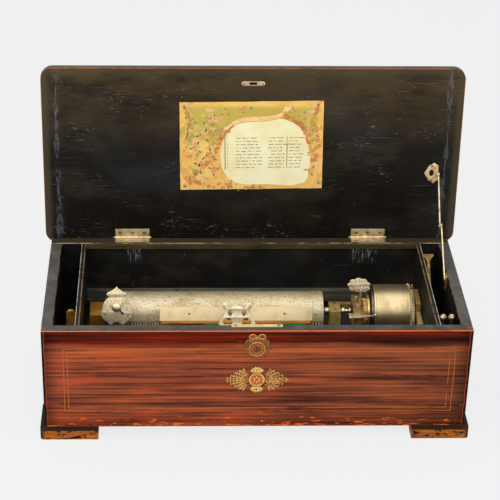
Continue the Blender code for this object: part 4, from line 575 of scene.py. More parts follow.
def stained_front():
    material, shader, place = new_finish("stained_front", 0.0, 0.04)
    height = place.z
    width = place.x
    fine = cloud(place, (0.13, 0.05, 0.0034), 3.0, 1.0, 0.6)
    broad = cloud(place, (0.26, 0.05, 0.0055), 3.0, 5.0)
    clouds = cloud(place, (0.12, 0.05, 0.024), 3.0, 9.0)
    # Brighter just under the top band
    lift = ramp(height, CASE_BOTTOM + 0.1, CASE_BOTTOM + 0.122, 0.0, 0.05)
    mixed = fine * 0.62 + broad * 0.26 + clouds * 0.26 - 0.07 + lift
    colour = shades(mixed, STAIN)
    # Bright red patches, mostly to the left, where the stain has thinned
    patch = cloud(place, (0.06, 0.05, 0.012), 4.0, 40.0, 0.6)
    to_left = ramp(width, 0.05, CASE_LEFT, 0.0, 0.08)
    patch = ramp(patch + to_left, 0.58, 0.76, 0.0, 0.6)
    colour = tint(patch, colour, (0.52, 0.07, 0.028))
    # Darker bands: along the top, along the foot, to the right and at both ends
    wave = cloud(place, (0.12, 0.05, 0.02), 3.0, 33.0) * 0.012
    band = ramp(height - wave, CASE_BOTTOM + 0.12, CASE_BOTTOM + 0.128)
    dark = tint(ramp(broad, 0.4, 0.6), (0.17, 0.11, 0.11), (0.42, 0.15, 0.11))
    colour = tint(band, colour, dark, "MULTIPLY")
    foot = ramp(height, CASE_BOTTOM + 0.024, CASE_BOTTOM + 0.008, 0.0, 0.8)
    colour = tint(foot, colour, (0.7, 0.55, 0.5), "MULTIPLY")
    colour = tint(ramp(width, -0.04, CASE_RIGHT), colour, (0.66, 0.82, 0.85), "MULTIPLY")
    end = ramp(abs(width), CASE_RIGHT - 0.022, CASE_RIGHT - 0.004)
    colour = tint(end, colour, (0.4, 0.42, 0.45), "MULTIPLY")
    # The inlaid double line, broken where it has worn
    for middle_x, middle_z, half_x, half_z in STRINGS:
        reach = larger(abs(width - middle_x) - half_x, abs(height - middle_z) - half_z)
        line = ramp(abs(reach), 0.55 * MM, 0.3 * MM)
        kept = ramp(cloud(place, (0.02, 0.05, 0.02), 4.0, 27.0, 0.6), 0.33, 0.46)
        colour = tint(line * kept, colour, (0.5, 0.13, 0.024))
    # Chips, long ones in the field and many small ones near the foot
    chips = cloud(place, (0.014, 0.05, 0.0035), 4.0, 21.0, 0.6)
    near_foot = ramp(height, CASE_BOTTOM + 0.03, CASE_BOTTOM, 0.0, 0.155)
    chips = chips + near_foot
    colour = tint(ramp(chips, 0.715, 0.735), colour, (0.72, 0.135, 0.018))
    # The ends are blacked over, with a ragged edge
    side = abs(width)
    ragged = cloud(place, (0.01, 0.05, 0.012), 3.0, 2.0) * 0.004
    side = side + ragged
    red_edge = ramp(side, CASE_RIGHT - 0.0026, CASE_RIGHT - 0.002, 0.0, 0.6)
    colour = tint(red_edge, colour, (0.42, 0.055, 0.018))
    colour = tint(ramp(side, CASE_RIGHT - 0.0014, CASE_RIGHT - 0.0008), colour, LACQUER)
    # The arrises are rubbed through to orange
    arris = ramp(height, RIM - 1.1 * MM, RIM - 0.7 * MM)
    wear_and_highlight_patches = ramp(cloud(place, (0.03, 0.05, 0.01), 4.0, 14.0), 0.3, 0.45)
    colour = tint(arris * wear_and_highlight_patches, colour, BARE_ORANGE)
    low_arris = ramp(height, CASE_BOTTOM + 1.6 * MM, CASE_BOTTOM + 0.9 * MM)
    colour = tint(low_arris * wear_and_highlight_patches, colour, (0.4, 0.07, 0.02))
    inside = ramp(place.y, FRONT + 0.0138, FRONT + 0.0142)
    colour = tint(inside, colour, LACQUER)
    # Painted grey sheen on the rim's top face, with its nicks
    colour = rim_sheen_and_nicks(place, colour)
    rough = ramp(fine, 0.3, 0.7, 0.34, 0.52)
    feed(shader, colour, rough, relief(mixed, 0.0002, 0.4))
    return material


FRONT_STAIN = stained_front()
print("front stain:", len(FRONT_STAIN.node_tree.nodes), "nodes")

# %% [markdown]
# The rest of the case is black lacquer, a hundred years old: dusty, scuffed, with pale scratches
# and a brown bloom. It is one recipe with a few shares to change, since the lid's inside is far
# more scratched than the back of the case.

# %% Black lacquer
def black_lacquer(name, dust_from, scratch_from, rim=True, gloss=(0.26, 0.46), rubbed=(),
        arris_tone=(0.2, 0.105, 0.035)):
    material, shader, place = new_finish(name, 0.0, 0.14)
    dust = cloud(place, (0.09, 0.09, 0.05), 5.0, 4.0, 0.62)
    colour = tint(ramp(dust, dust_from, dust_from + 0.25), LACQUER, (0.04, 0.031, 0.018))
    # Painted reflection: broad patches of the black lightened to blue-grey
    bluish_sheen = cloud(place, (0.13, 0.1, 0.13), 3.0, 17.0)
    colour = tint(ramp(bluish_sheen, 0.52, 0.75, 0.0, 0.8), colour, (0.016, 0.018, 0.019))
    level = cloud(place, (0.05, 0.003, 0.0012), 3.0, 6.0, 0.55)
    steep = cloud(place, (0.0014, 0.003, 0.022), 3.0, 12.0, 0.55)
    where = ramp(even_cloud(place, 0.06, 3.0, 31.0), 0.45, 0.62)
    for scratches in (level, steep):
        mask = ramp(scratches, scratch_from, scratch_from + 0.05)
        colour = tint(mask * where, colour, (0.11, 0.11, 0.1))
    specks = ramp(even_cloud(place, 0.0022, 1.0, 23.0), 0.78, 0.82)
    colour = tint(specks, colour, (0.16, 0.15, 0.13))
    # Scratches the hinges' leaves have left on the board below them
    for middle, half in rubbed:
        off = abs(place.x - middle)
        near = ramp(off, half, half * 0.7)
        inner_side = ramp(place.y, 0.096, 0.094)
        near = near * inner_side
        down = ramp(place.z, RIM - 0.034, RIM - 0.014)
        streaks = cloud(place, (0.0022, 0.05, 0.02), 4.0, 9.0, 0.65)
        streaks = ramp(streaks, 0.5, 0.6, 0.0, 0.8)
        mask = near * down * streaks
        colour = tint(mask, colour, (0.34, 0.33, 0.31))
    if rim:
        # Painted grey sheen on the rim's top face, with its nicks
        colour = rim_sheen_and_nicks(place, colour)
        height = place.z
        arris = ramp(height, RIM - 1.0 * MM, RIM - 0.7 * MM)
        on_top = ramp(height, RIM - 0.1 * MM, RIM - 0.03 * MM)
        edge = arris - on_top
        wear_and_highlight_patches = ramp(even_cloud(place, 0.02, 4.0, 14.0), 0.42, 0.55)
        colour = tint(edge * wear_and_highlight_patches, colour, arris_tone)
    rough = ramp(dust, 0.3, 0.7, *gloss)
    feed(shader, colour, rough, relief(level + dust, 0.0002, 0.25))
    return material


CASE_BLACK = black_lacquer("case_black", 0.5, 0.74)
BACK_BLACK = black_lacquer("back_black", 0.48, 0.7, rubbed=((-0.164, 0.011), (0.16, 0.02)),
    arris_tone=(0.36, 0.27, 0.115))


def partition_black():
    """Dark, with a painted silvery highlight along the outer top edge and a painted golden one along
    the inner, broken into patches.
    """
    material, shader, place = new_finish("partition_black", 0.0, 0.14)
    dust = cloud(place, (0.02, 0.04, 0.02), 4.0, 4.0, 0.6)
    colour = tint(ramp(dust, 0.45, 0.7), LACQUER, (0.02, 0.015, 0.01))
    mid = [sum(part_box(word + "_partition")[i].x for i in (0, 1)) / 2 for word in ("left", "right")]
    off = place.x - sum(mid) / 2
    off = abs(off) - (mid[1] - mid[0]) / 2
    # Painted highlights: a silvery line along the outer edge of the top face and a golden one along the
    # inner
    on_top = ramp(place.z, 0.1646, 0.1652)
    wear_and_highlight_patches = ramp(cloud(place, (0.02, 0.014, 0.02), 4.0, 9.0, 0.6), 0.36, 0.5, 0.25, 1.0)
    on_top *= wear_and_highlight_patches
    outer_highlight = ramp(off, 0.0017, 0.0021) * on_top
    inner = ramp(off, -0.0013, -0.0018) * on_top
    colour = tint(outer_highlight, colour, (0.34, 0.32, 0.28))
    colour = tint(inner, colour, (0.19, 0.125, 0.05))
    feed(shader, colour, 0.45, relief(dust, 0.0002, 0.3))
    return material


PARTITION_BLACK = partition_black()
print("case black:", len(CASE_BLACK.node_tree.nodes), "nodes")

# %% [markdown]
# The lid is the same lacquer, but its inner face tells a story: two pale vertical rub marks near
# the ends, a grey band where it shuts on the rim, and a bare orange line right round the edge.
# The distance from the edge comes from the piece's own coordinates.

# %% Lid lacquer
def lid_lacquer():
    material, shader, place = new_finish("lid_black", 0.0, 0.1)
    low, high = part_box("lid_panel")
    lean = math.radians(LID_LEAN)
    deep = (place.y - HINGE.y) * math.cos(lean) - (place.z - HINGE.z) * math.sin(lean)
    inside = ramp(deep, 0.003, 0.0015)
    dust = cloud(place, (0.1, 0.08, 0.05), 5.0, 4.0, 0.62)
    colour = tint(ramp(dust, 0.48, 0.72), (0.009, 0.0072, 0.005), (0.04, 0.031, 0.018))
    # Painted reflection: broad patches of the black lightened to blue-grey
    bluish_sheen = cloud(place, (0.12, 0.1, 0.1), 3.0, 17.0)
    colour = tint(ramp(bluish_sheen, 0.5, 0.75), colour, (0.026, 0.028, 0.03))
    high_up = ramp(place.z, high.z - 0.12, high.z - 0.01)
    bloom = ramp(cloud(place, (0.08, 0.08, 0.03), 5.0, 44.0, 0.65), 0.36, 0.58, 0.2, 1.0)
    colour = tint(high_up * bloom, colour, (0.066, 0.043, 0.018))
    low_down = ramp(place.z, low.z + 0.13, low.z + 0.04, 0.0, 0.55)
    colour = tint(low_down, colour, (0.006, 0.004, 0.003))
    side = abs(place.x)
    height = place.z
    level = cloud(place, (0.036, 0.004, 0.0011), 4.0, 6.0, 0.6, 0.5)
    steep = cloud(place, (0.0018, 0.004, 0.018), 4.0, 12.0, 0.6, 0.8)
    where = ramp(cloud(place, (0.07, 0.07, 0.06), 3.0, 31.0), 0.42, 0.6)
    where = where * ramp(inside, 0.0, 1.0, 0.4, 1.0)
    for scratches, start in ((level, 0.63), (steep, 0.7)):
        mask = ramp(scratches, start, start + 0.12)
        colour = tint(mask * where, colour, (0.17, 0.16, 0.14))
    scuffed = ramp(cloud(place, (0.06, 0.06, 0.05), 2.0, 61.0), 0.56, 0.66)
    scuffs = ramp(cloud(place, (0.007, 0.004, 0.0022), 5.0, 57.0, 0.65), 0.58, 0.7)
    scuffs = scuffs * scuffed * inside
    colour = tint(scuffs, colour, (0.19, 0.185, 0.17))
    specks = ramp(even_cloud(place, 0.003, 2.0, 23.0), 0.74, 0.79)
    colour = tint(specks, colour, (0.2, 0.19, 0.17))
    # Two rub marks, broken and a little wavy
    wave = cloud(place, (0.05, 0.05, 0.1), 2.0, 3.0) * 0.006
    near = abs(side + wave - 0.271)
    spread = ramp(cloud(place, (0.05, 0.05, 0.035), 2.0, 51.0), 0.4, 0.7, 0.0012, 0.0075)
    rub = 1.0 - near / spread
    rub = ramp(rub, 0.0, 0.5) * inside
    broken = ramp(cloud(place, (0.004, 0.01, 0.014), 5.0, 19.0, 0.7), 0.42, 0.66, 0.0, 0.7)
    colour = tint(rub * broken, colour, (0.15, 0.162, 0.18))
    # The bare line on the outermost edge, and the dull band inside it
    inner = ramp(deep, 0.0024, 0.0016)
    edge = ramp(side, high.x - 0.0014, high.x - 0.0006)
    top = ramp(height, high.z - 0.0016, high.z - 0.0008)
    around = larger(edge, top) * inner
    wear_and_highlight_patches = ramp(even_cloud(place, 0.03, 4.0, 14.0), 0.34, 0.5)
    colour = tint(around * wear_and_highlight_patches, colour, (0.42, 0.125, 0.02))
    dull = ramp(side, high.x - 0.012, high.x - 0.006, 0.0, 0.55)
    dull_top = ramp(height, high.z - 0.014, high.z - 0.006, 0.0, 0.55)
    band = larger(dull, dull_top) * inside
    colour = tint(band, colour, (0.082, 0.062, 0.034))
    rough = ramp(dust, 0.3, 0.7, 0.24, 0.44)
    feed(shader, colour, rough, relief(level + dust, 0.0002, 0.25))
    return material


LID_BLACK = lid_lacquer()
print("lid black:", len(LID_BLACK.node_tree.nodes), "nodes")

# %% [markdown]
# Metals. Old brass and worn nickel differ only in their two colours and how much they shine, so
# one function makes them all: a clean metal, a tarnish that gathers in clouds, dark specks, and a
# faint grain whose direction tells how the piece was finished.

# %% Metals
def old_metal(name, clean, tarnish, gloss=(0.25, 0.45), tarnish_from=0.4, specks=0.7, speck=0.0012,
        lengths=(0.012, 0.012, 0.012), grain=(0.004, 0.0004, 0.0004), metallic=1.0, depth=0.00003):
    material, shader, place = new_finish(name, metallic)
    clouds = cloud(place, lengths, 4.0, 2.0, 0.6)
    colour = tint(ramp(clouds, tarnish_from, tarnish_from + 0.3), clean, tarnish)
    spots = ramp(even_cloud(place, speck, 2.0, 7.0), specks, specks + 0.05)
    dark = tuple(value * 0.28 for value in tarnish)
    colour = tint(spots, colour, dark)
    lines = cloud(place, grain, 2.0, 4.0)
    rough = ramp(clouds + lines, 0.6, 1.4, *gloss)
    feed(shader, colour, rough, relief(lines, depth, 0.5))
    return material


BRASS = old_metal("old_brass", (0.66, 0.44, 0.15), (0.34, 0.18, 0.045), metallic=0.75)
HINGE_BRASS = old_metal("hinge_brass", (0.66, 0.52, 0.3), (0.34, 0.23, 0.1), (0.4, 0.6), 0.42,
    metallic=0.75)
LOCK_BRASS = old_metal("lock_brass", (0.8, 0.6, 0.32), (0.55, 0.34, 0.12), (0.4, 0.55), 0.5,
    metallic=0.7)
DARK_BRASS = old_metal("dark_brass", (0.26, 0.145, 0.045), (0.075, 0.04, 0.014), (0.35, 0.6), 0.38)
GILT = old_metal("gilt_bronze", (0.66, 0.3, 0.042), (0.36, 0.145, 0.02), (0.4, 0.6), 0.45, metallic=0.8)
NICKEL = old_metal("worn_nickel", (0.66, 0.53, 0.34), (0.42, 0.32, 0.165), (0.42, 0.58), 0.5, 0.585,
    0.0015, metallic=0.7)
PITTED_NICKEL = old_metal("pitted_nickel", (0.66, 0.53, 0.34), (0.42, 0.31, 0.16), (0.42, 0.58), 0.48,
    0.56, 0.0013, metallic=0.7)
KNOB_BRASS = old_metal("knob_brass", (0.84, 0.7, 0.45), (0.34, 0.19, 0.06), (0.25, 0.42), 0.42,
    lengths=(0.005, 0.005, 0.005), metallic=0.9)
STAY_BRASS = old_metal("stay_brass", (0.62, 0.5, 0.3), (0.3, 0.2, 0.09), (0.38, 0.52), 0.45,
    lengths=(0.006, 0.006, 0.012), metallic=0.9)
BED_IRON = old_metal("bed_iron", (0.05, 0.044, 0.037), (0.03, 0.026, 0.021), (0.5, 0.65), 0.45, 0.76,
    lengths=(0.05, 0.05, 0.05), metallic=0.6)
OLIVE_BRASS = old_metal("olive_brass", (0.6, 0.41, 0.145), (0.34, 0.21, 0.06), (0.35, 0.5), 0.42,
    metallic=0.55)
COVER_STEEL = old_metal("cover_steel", (0.17, 0.165, 0.15), (0.085, 0.08, 0.07), (0.3, 0.5), 0.42)
# The keyhole casting is one bronze in two shades: painted shade darkens the drapery behind, painted
# light brightens the raised rings and bow
SHADED_CASTING_BRONZE = old_metal("keyhole_bronze_painted_shade", (0.3, 0.12, 0.026), (0.1, 0.036, 0.01), (0.42, 0.6), 0.42,
    lengths=(0.004, 0.004, 0.004), metallic=0.5)
LIT_RAISED_BRONZE = old_metal("raised_bronze_painted_light", (0.5, 0.215, 0.046), (0.19, 0.07, 0.016), (0.4, 0.55), 0.46,
    lengths=(0.003, 0.003, 0.003), metallic=0.5)
BRIGHT_NICKEL = old_metal("bright_nickel", (0.66, 0.55, 0.36), (0.36, 0.27, 0.14), (0.25, 0.42), 0.46)
STEEL = old_metal("tempered_steel", (0.48, 0.42, 0.31), (0.18, 0.14, 0.08), (0.22, 0.4))
DARK_STEEL = old_metal("blackened_steel", (0.06, 0.062, 0.062), (0.02, 0.018, 0.015), (0.35, 0.5))
SCREW_BLUE = old_metal("screw_steel", (0.34, 0.31, 0.26), (0.1, 0.08, 0.05), (0.25, 0.45))
CYLINDER_PLATE = old_metal("cylinder_plate", (0.6, 0.5, 0.32), (0.36, 0.285, 0.13), (0.48, 0.62), 0.47,
    0.585, 0.0013, (0.03, 0.02, 0.02), (0.0006, 0.004, 0.004), 0.6)
BARREL_PLATE = old_metal("barrel_plate", (0.5, 0.39, 0.215), (0.31, 0.225, 0.095), (0.33, 0.45), 0.46,
    0.7, 0.0014, (0.018, 0.03, 0.03), (0.0009, 0.03, 0.03), 0.92)
CLIP_NICKEL = old_metal("clip_nickel", (0.55, 0.43, 0.245), (0.42, 0.32, 0.165), (0.4, 0.55), 0.5, 0.76,
    0.0012, grain=(0.0006, 0.004, 0.004), metallic=0.8)
COMB_STEEL = old_metal("comb_steel", (0.6, 0.52, 0.36), (0.34, 0.27, 0.16), (0.25, 0.4), 0.45)
LYRE_NICKEL = old_metal("lyre_nickel", (0.78, 0.65, 0.43), (0.52, 0.41, 0.22), (0.4, 0.55), 0.54, 0.62,
    0.0013, metallic=0.7)
print("metals ready")

# %% [markdown]
# The plainer woods: raw orange-brown feet with the rest of their black paint, a grey-green stained
# rail behind the movement, and the dark inside of the case.

# %% Plain woods and paper
def plain_wood(name, light, dark, grain, gloss=(0.5, 0.7), paint=None, paint_from=0.5,
        black_beyond=None):
    material, shader, place = new_finish(name, 0.0, 0.08)
    fine = cloud(place, grain, 5.0, 3.0, 0.6)
    broad = cloud(place, (0.05, 0.03, 0.02), 3.0, 8.0)
    mixed = fine * 0.6 + broad * 0.4
    colour = tint(ramp(mixed, 0.38, 0.62), dark, light)
    if paint:
        left = cloud(place, (0.012, 0.012, 0.006), 5.0, 15.0, 0.6)
        colour = tint(ramp(left, paint_from, paint_from + 0.05), colour, paint)
    if black_beyond:
        outward = abs(place.x)
        outward = ramp(outward, black_beyond, black_beyond + 0.004)
        upward = ramp(place.z, CASE_BOTTOM - 0.003, CASE_BOTTOM - 0.0016)
        colour = tint(larger(outward, upward), colour, (0.03, 0.017, 0.01))
    rough = ramp(mixed, 0.3, 0.7, *gloss)
    feed(shader, colour, rough, relief(fine, 0.0002, 0.4))
    return material


RAIL = plain_wood("rail_stain", (0.118, 0.108, 0.076), (0.05, 0.046, 0.034), (0.07, 0.02, 0.0022),
    (0.35, 0.5), LACQUER, 0.64)
FOOT_WOOD = plain_wood("foot_wood", (0.56, 0.155, 0.016), (0.2, 0.05, 0.008), (0.03, 0.03, 0.0016),
    paint=LACQUER, paint_from=0.525, black_beyond=0.2795)
LEDGE_WOOD = plain_wood("ledge_wood", (0.085, 0.066, 0.026), (0.03, 0.024, 0.011), (0.05, 0.004, 0.004))
INNER_WOOD = plain_wood("inner_wood", (0.06, 0.04, 0.024), (0.02, 0.015, 0.01), (0.06, 0.004, 0.02))
PAPER = plain_wood("orange_paper", (0.7, 0.26, 0.04), (0.42, 0.13, 0.02), (0.02, 0.004, 0.004))
GREEN_FELT = plain_wood("green_felt", (0.01, 0.26, 0.035), (0.008, 0.15, 0.03), (0.002, 0.002, 0.002),
    (0.8, 0.95))
print("plain woods, paper and felt ready")

# %% [markdown]
# The teeth round the barrel are bright at their tips, with painted shade in the gaps between them. How
# far a point lies from the axis tells the two apart, which takes a few sums with vectors.

# %% Teeth
def pointed(kind, first, second):
    return Value(wire(first.tree, "ShaderNodeVectorMath", {0: first, 1: second},
        operation=kind).outputs[0])


def tooth_brass():
    """Bright tips and painted shade in the gaps, told apart by their distance from the axis."""
    material, shader, place = new_finish("tooth_brass", 0.6)
    from_axis = pointed("SUBTRACT", place, (0, AXIS.y, AXIS.z))
    flat = pointed("MULTIPLY", from_axis, (0, 1, 1))
    length = wire(flat.tree, "ShaderNodeVectorMath", {0: flat}, operation="LENGTH")
    radius = Value(length.outputs["Value"])
    high = ramp(radius, 0.0362, 0.0371)
    wear_and_highlight_patches = even_cloud(place, 0.004, 3.0, 5.0)
    bright = tint(wear_and_highlight_patches, (0.86, 0.72, 0.46), (0.62, 0.48, 0.26))
    # Painted shade: the gaps between the teeth are near-black
    feed(shader, tint(high, (0.03, 0.022, 0.012), bright), 0.4, relief(wear_and_highlight_patches, 0.0001, 0.3))
    return material


TOOTH_BRASS = tooth_brass()
print("tooth brass:", len(TOOTH_BRASS.node_tree.nodes), "nodes")

# %% [markdown]
# Print and inlay are flat colours with a little age in them: each fades between two shades in
# soft spots, so one short function is enough for all.

# %% Print, inlay and keyhole colours
def aged_colour(name, fresh, faded, metallic=0.0, size=0.012, gloss=0.6, spots=None):
    material, shader, place = new_finish(name, metallic, 0.2)
    spread = even_cloud(place, size, 4.0, 3.0, 0.6)
    colour = tint(ramp(spread, 0.4, 0.62), fresh, faded)
    if spots:
        fine = even_cloud(place, 0.0016, 2.0, 5.0)
        colour = tint(ramp(fine, 0.62, 0.68), colour, spots)
    feed(shader, colour, gloss, relief(spread, 0.0001, 0.2))
    return material


INLAY_GOLD = aged_colour("inlay_gold", (0.86, 0.62, 0.18), (0.62, 0.36, 0.07), 0.3, 0.006, 0.45,
    (0.3, 0.12, 0.03))
INLAY_RED = aged_colour("inlay_red", (0.62, 0.11, 0.03), (0.4, 0.05, 0.02), 0.0, 0.004)
RED_METAL = aged_colour("red_metal", (0.34, 0.07, 0.03), (0.2, 0.06, 0.02), 0.4, 0.004)
CARD_OCHRE = aged_colour("card_ochre", (0.86, 0.54, 0.13), (0.74, 0.4, 0.07), 0.0, 0.03, 0.7)
CARD_RIBBON = aged_colour("card_ribbon", (0.96, 0.74, 0.38), (0.9, 0.56, 0.22), 0.0, 0.008, 0.7)
CARD_PEACH = aged_colour("card_peach", (0.9, 0.52, 0.24), (0.74, 0.3, 0.1), 0.0, 0.01, 0.7)
CARD_TEAL = aged_colour("card_teal", (0.12, 0.19, 0.075), (0.26, 0.27, 0.09), 0.0, 0.008, 0.7)
CARD_CREAM = aged_colour("card_cream", (0.98, 0.92, 0.58), (0.94, 0.82, 0.44), 0.0, 0.03, 0.7)
CARD_INK = aged_colour("card_ink", (0.02, 0.02, 0.028), (0.085, 0.075, 0.08), 0.0, 0.008, 0.7)
CARD_GREEN = aged_colour("card_green", (0.2, 0.28, 0.07), (0.42, 0.34, 0.08), 0.0, 0.01, 0.7)
CARD_CORAL = aged_colour("card_coral", (0.72, 0.14, 0.05), (0.86, 0.36, 0.12), 0.0, 0.008, 0.7)
CARD_GOLD = aged_colour("card_gold", (0.9, 0.46, 0.08), (0.7, 0.26, 0.05), 0.0, 0.006, 0.7)
print("print and inlay colours ready")

# %% [markdown]
# The cylinder is a thin brass drum, plated, with thousands of steel pins. A profile spun round
# the axis gives the drum and its recessed ends. One pin is modelled, a tapered four-sided peg;
# its points are then repeated in narrow tracks, one set for each tooth and tune, because the
# pins stand in rings a fraction of a millimetre apart.

# %% Cylinder
drum_low, drum_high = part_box("cylinder")
DRUM_R = (drum_high.z - drum_low.z) / 2
DRUM_MIDDLE = (drum_low + drum_high) / 2
END_INSET = 1.6 * MM
RIM_WIDTH = 2.0 * MM
EDGE = 0.35 * MM
half_drum = (drum_high.x - drum_low.x) / 2
side = [(half_drum - END_INSET, 0.0), (half_drum - END_INSET, DRUM_R - RIM_WIDTH - EDGE),
    (half_drum - EDGE, DRUM_R - RIM_WIDTH), (half_drum, DRUM_R - RIM_WIDTH + EDGE),
    (half_drum, DRUM_R - EDGE), (half_drum - EDGE, DRUM_R)]
drum = lathed([(-x, r) for x, r in side] + [(x, r) for x, r in reversed(side)], DRUM_MIDDLE, "X", 128)
finished(drum, "drum", "tune_cylinder", CYLINDER_PLATE)

PIN_HEIGHT = 0.85 * MM
PIN_HALF = 0.24 * MM
TRACK_GAP = 0.35 * MM
TOOTH_STEP = 4.0 * MM
FIRST_TOOTH = -0.17
LAST_TOOTH = 0.094
TUNES = 10
NOTES_PER_TRACK = 7
bpy.ops.mesh.primitive_cone_add(vertices=4, radius1=PIN_HALF, radius2=PIN_HALF * 0.6, depth=PIN_HEIGHT,
    location=(0, 0, DRUM_R + PIN_HEIGHT * 0.42))
pins = added()
one_pin = np.array([v.co for v in pins.data.vertices])
pin_faces = [tuple(face.vertices) for face in pins.data.polygons]
chance = random.Random(11)
spots = []
first_tooth = FIRST_TOOTH
while first_tooth < LAST_TOOTH:
    for tune in range(TUNES):
        start = chance.random()
        for note in range(NOTES_PER_TRACK):
            turn = 2 * math.pi * (start + (note + 0.7 * chance.random()) / NOTES_PER_TRACK)
            spots.append((first_tooth + TRACK_GAP * tune, turn))
    first_tooth += TOOTH_STEP
points = []
faces = []
for x, turn in spots:
    c, s = (math.cos(turn), math.sin(turn))
    shift = len(points)
    for px, py, pz in one_pin:
        points.append((x + px, py * c - pz * s + AXIS.y, py * s + pz * c + AXIS.z))
    faces += [tuple(shift + i for i in face) for face in pin_faces]
pins.data.clear_geometry()
pins.data.from_pydata(points, [], faces)
finished(pins, "pins", "tune_cylinder", SCREW_BLUE, 10)
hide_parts("cylinder")
print("pins on the cylinder:", len(spots))

# %% [markdown]
# The spring barrel and its cover are turned too: a satin drum with a groove near each end, and a
# stepped cover with a boss. The profile carries these details, which is why a lathe suits them
# better than a cylinder would. The barrel's teeth are cut as a flat ring and then turned upright.

# %% Spring barrel
barrel_low, barrel_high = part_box("spring_barrel")
BARREL_R = 36.8 * MM
near_ratchet = ((3.5, 3.0), (0.0, 2.6), (0.0, 0.5), (0.5, 0.0), (2.6, 0.0), (2.9, 0.4), (3.5, 0.4),
    (3.8, 0.0))
near_teeth = ((6.2, 0.0), (5.9, 0.4), (5.3, 0.4), (5.0, 0.0), (2.8, 0.0), (2.8, 1.2), (0.0, 1.2))
barrel_profile = [(barrel_low.x + 3.5 * MM, 0.0)]
barrel_profile += [(barrel_low.x + inward * MM, BARREL_R - deep * MM) for inward, deep in near_ratchet]
barrel_profile += [(barrel_high.x - inward * MM, BARREL_R - deep * MM) for inward, deep in near_teeth]
barrel_profile.append((barrel_high.x, 0.0))
barrel = lathed(barrel_profile, (0, AXIS.y, AXIS.z), "X", 128)
finished(barrel, "barrel_drum", "barrel", BARREL_PLATE, 28)
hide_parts("spring_barrel")
TEETH = 84
teeth_outline = []
for number in range(TEETH):
    for share, reach in ((0.0, -1.3), (0.42, 0.5), (0.66, 0.5), (0.78, -1.3)):
        turn = 2 * math.pi * (number + share) / TEETH
        radius = BARREL_R + reach * MM
        teeth_outline.append((radius * math.cos(turn), radius * math.sin(turn)))
teeth = cut_plate([teeth_outline, ring(BARREL_R - 1.6 * MM, TEETH)], 2.5 * MM)
moved(teeth, (barrel_high.x - 2.6 * MM, AXIS.y, AXIS.z), turned(90, "Y"))
finished(teeth, "barrel_teeth", "barrel", TOOTH_BRASS, 20)

cover_low, cover_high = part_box("barrel_cover")
COVER_R = 34.3 * MM
cover_profile = in_mm([(1.2, 0.0), (1.2, 9.0), (0.0, 9.6), (0.0, 12.0), (0.9, 13.0), (0.9, 24.0),
    (0.0, 25.0), (0.0, 31.2), (0.6, 31.8), (3.3, 31.8)], cover_low.x)
cover_profile += [(cover_low.x + 3.3 * MM, COVER_R), (cover_high.x, COVER_R), (cover_high.x, 0.0)]
cover = lathed(cover_profile, (0, AXIS.y, AXIS.z))
finished(cover, "cover_plate", "barrel", COVER_STEEL)
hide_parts("barrel_cover")
print("barrel turned with", len(barrel.data.polygons), "faces")

# %% [markdown]
# Screws hold everything. Each is a turned head with a low dome, then its slot is pressed in: two
# edge loops are cut with bisect, and the strip between them is moved down in edit mode. They
# differ only in size and in how their slots have come to rest.

# %% Screws
HEAD_STEPS = 24


def screw(radius, height):
    """A slotted domed head at the origin, facing +Z."""
    head = lathed([(0.0, 0.0), (0.0, radius), (height * 0.55, radius), (height * 0.9, radius * 0.8),
        (height, 0.0)], (0, 0, 0), "Z", HEAD_STEPS)
    half_slot = radius * 0.15
    for place in (-half_slot, half_slot):
        edit_all(head)
        bpy.ops.mesh.bisect(plane_co=(0, place, 0), plane_no=(0, 1, 0))
        leave()
    pushed(head, lambda middle, normal: abs(middle.y) < half_slot and middle.z > height * 0.7,
        (0, 0, -height * 0.5))
    return head


def screws(places, radius, height, tilt, name, body, material=SCREW_BLUE):
    """Heads of a size in mm at several places; tilt turns +Z to the way they face."""
    model = screw(radius * MM, height * MM)
    made = []
    for number, place in enumerate(places):
        made.append(moved(copied(model, turn_z=0.9 * number + 0.4), place, tilt))
    bpy.data.objects.remove(model)
    return finished(joined(made), name, body, material)


FACING_UP = Matrix.Identity(4)
print("screws ready")

# %% [markdown]
# The tune indicator is a sawn plate of nickelled brass with a pointed crest, shoulders and two
# feet; a hand on a knob shows which tune is playing. Half of the outline is drawn and mirrored,
# a curve fills it, and the plate is stood up leaning back, as it is screwed to its post.

# %% Tune indicator
TUNE_SPOT = Vector(joints["tune_pointer_turn"]["pos_m"])
TUNE_LEAN = 25
PLATE_THICK = 1.4 * MM
POST_HALF = 4.9 * MM
POST_FRONT = -0.0148
POST_FOOT = 0.0613
POST_TOP = 0.142
tune_half = [(0.0, 28.2), (1.3, 26.2), (3.9, 24.0), (6.9, 22.6), (8.2, 21.4), (10.4, 20.6),
    (12.6, 19.2), (13.4, 17.6), (13.0, 15.8), (11.4, 14.4), (10.2, 13.8), (11.0, 12.6), (12.4, 12.0),
    (14.4, 10.0), (16.6, 7.0), (18.2, 3.6), (19.0, 0.0), (19.4, -3.2), (20.6, -5.8), (22.4, -7.4),
    (21.6, -8.6), (20.8, -11.0), (19.4, -14.0), (17.6, -16.6), (15.2, -18.8), (13.0, -20.0),
    (11.6, -20.4), (10.8, -22.6), (8.4, -24.0), (6.0, -23.6), (4.8, -21.4), (2.4, -20.6)]
tune_half = in_mm(tune_half)
tune_outline = tune_half + [(0.0, -20.4 * MM)] + [(-x, y) for x, y in reversed(tune_half[1:])]
plate = cut_plate([tune_outline], PLATE_THICK, 0.25 * MM)
moved(plate, (0, 0, -PLATE_THICK))
upright(plate, TUNE_SPOT, TUNE_LEAN)
post = box((TUNE_SPOT.x - POST_HALF, POST_FRONT, POST_FOOT), (TUNE_SPOT.x + POST_HALF,
    POST_FRONT + 2.8 * MM, POST_TOP))
rounded(post, 0.3 * MM)
tune_dial = joined([plate, post])
finished(tune_dial, "tune_dial", "case", NICKEL)
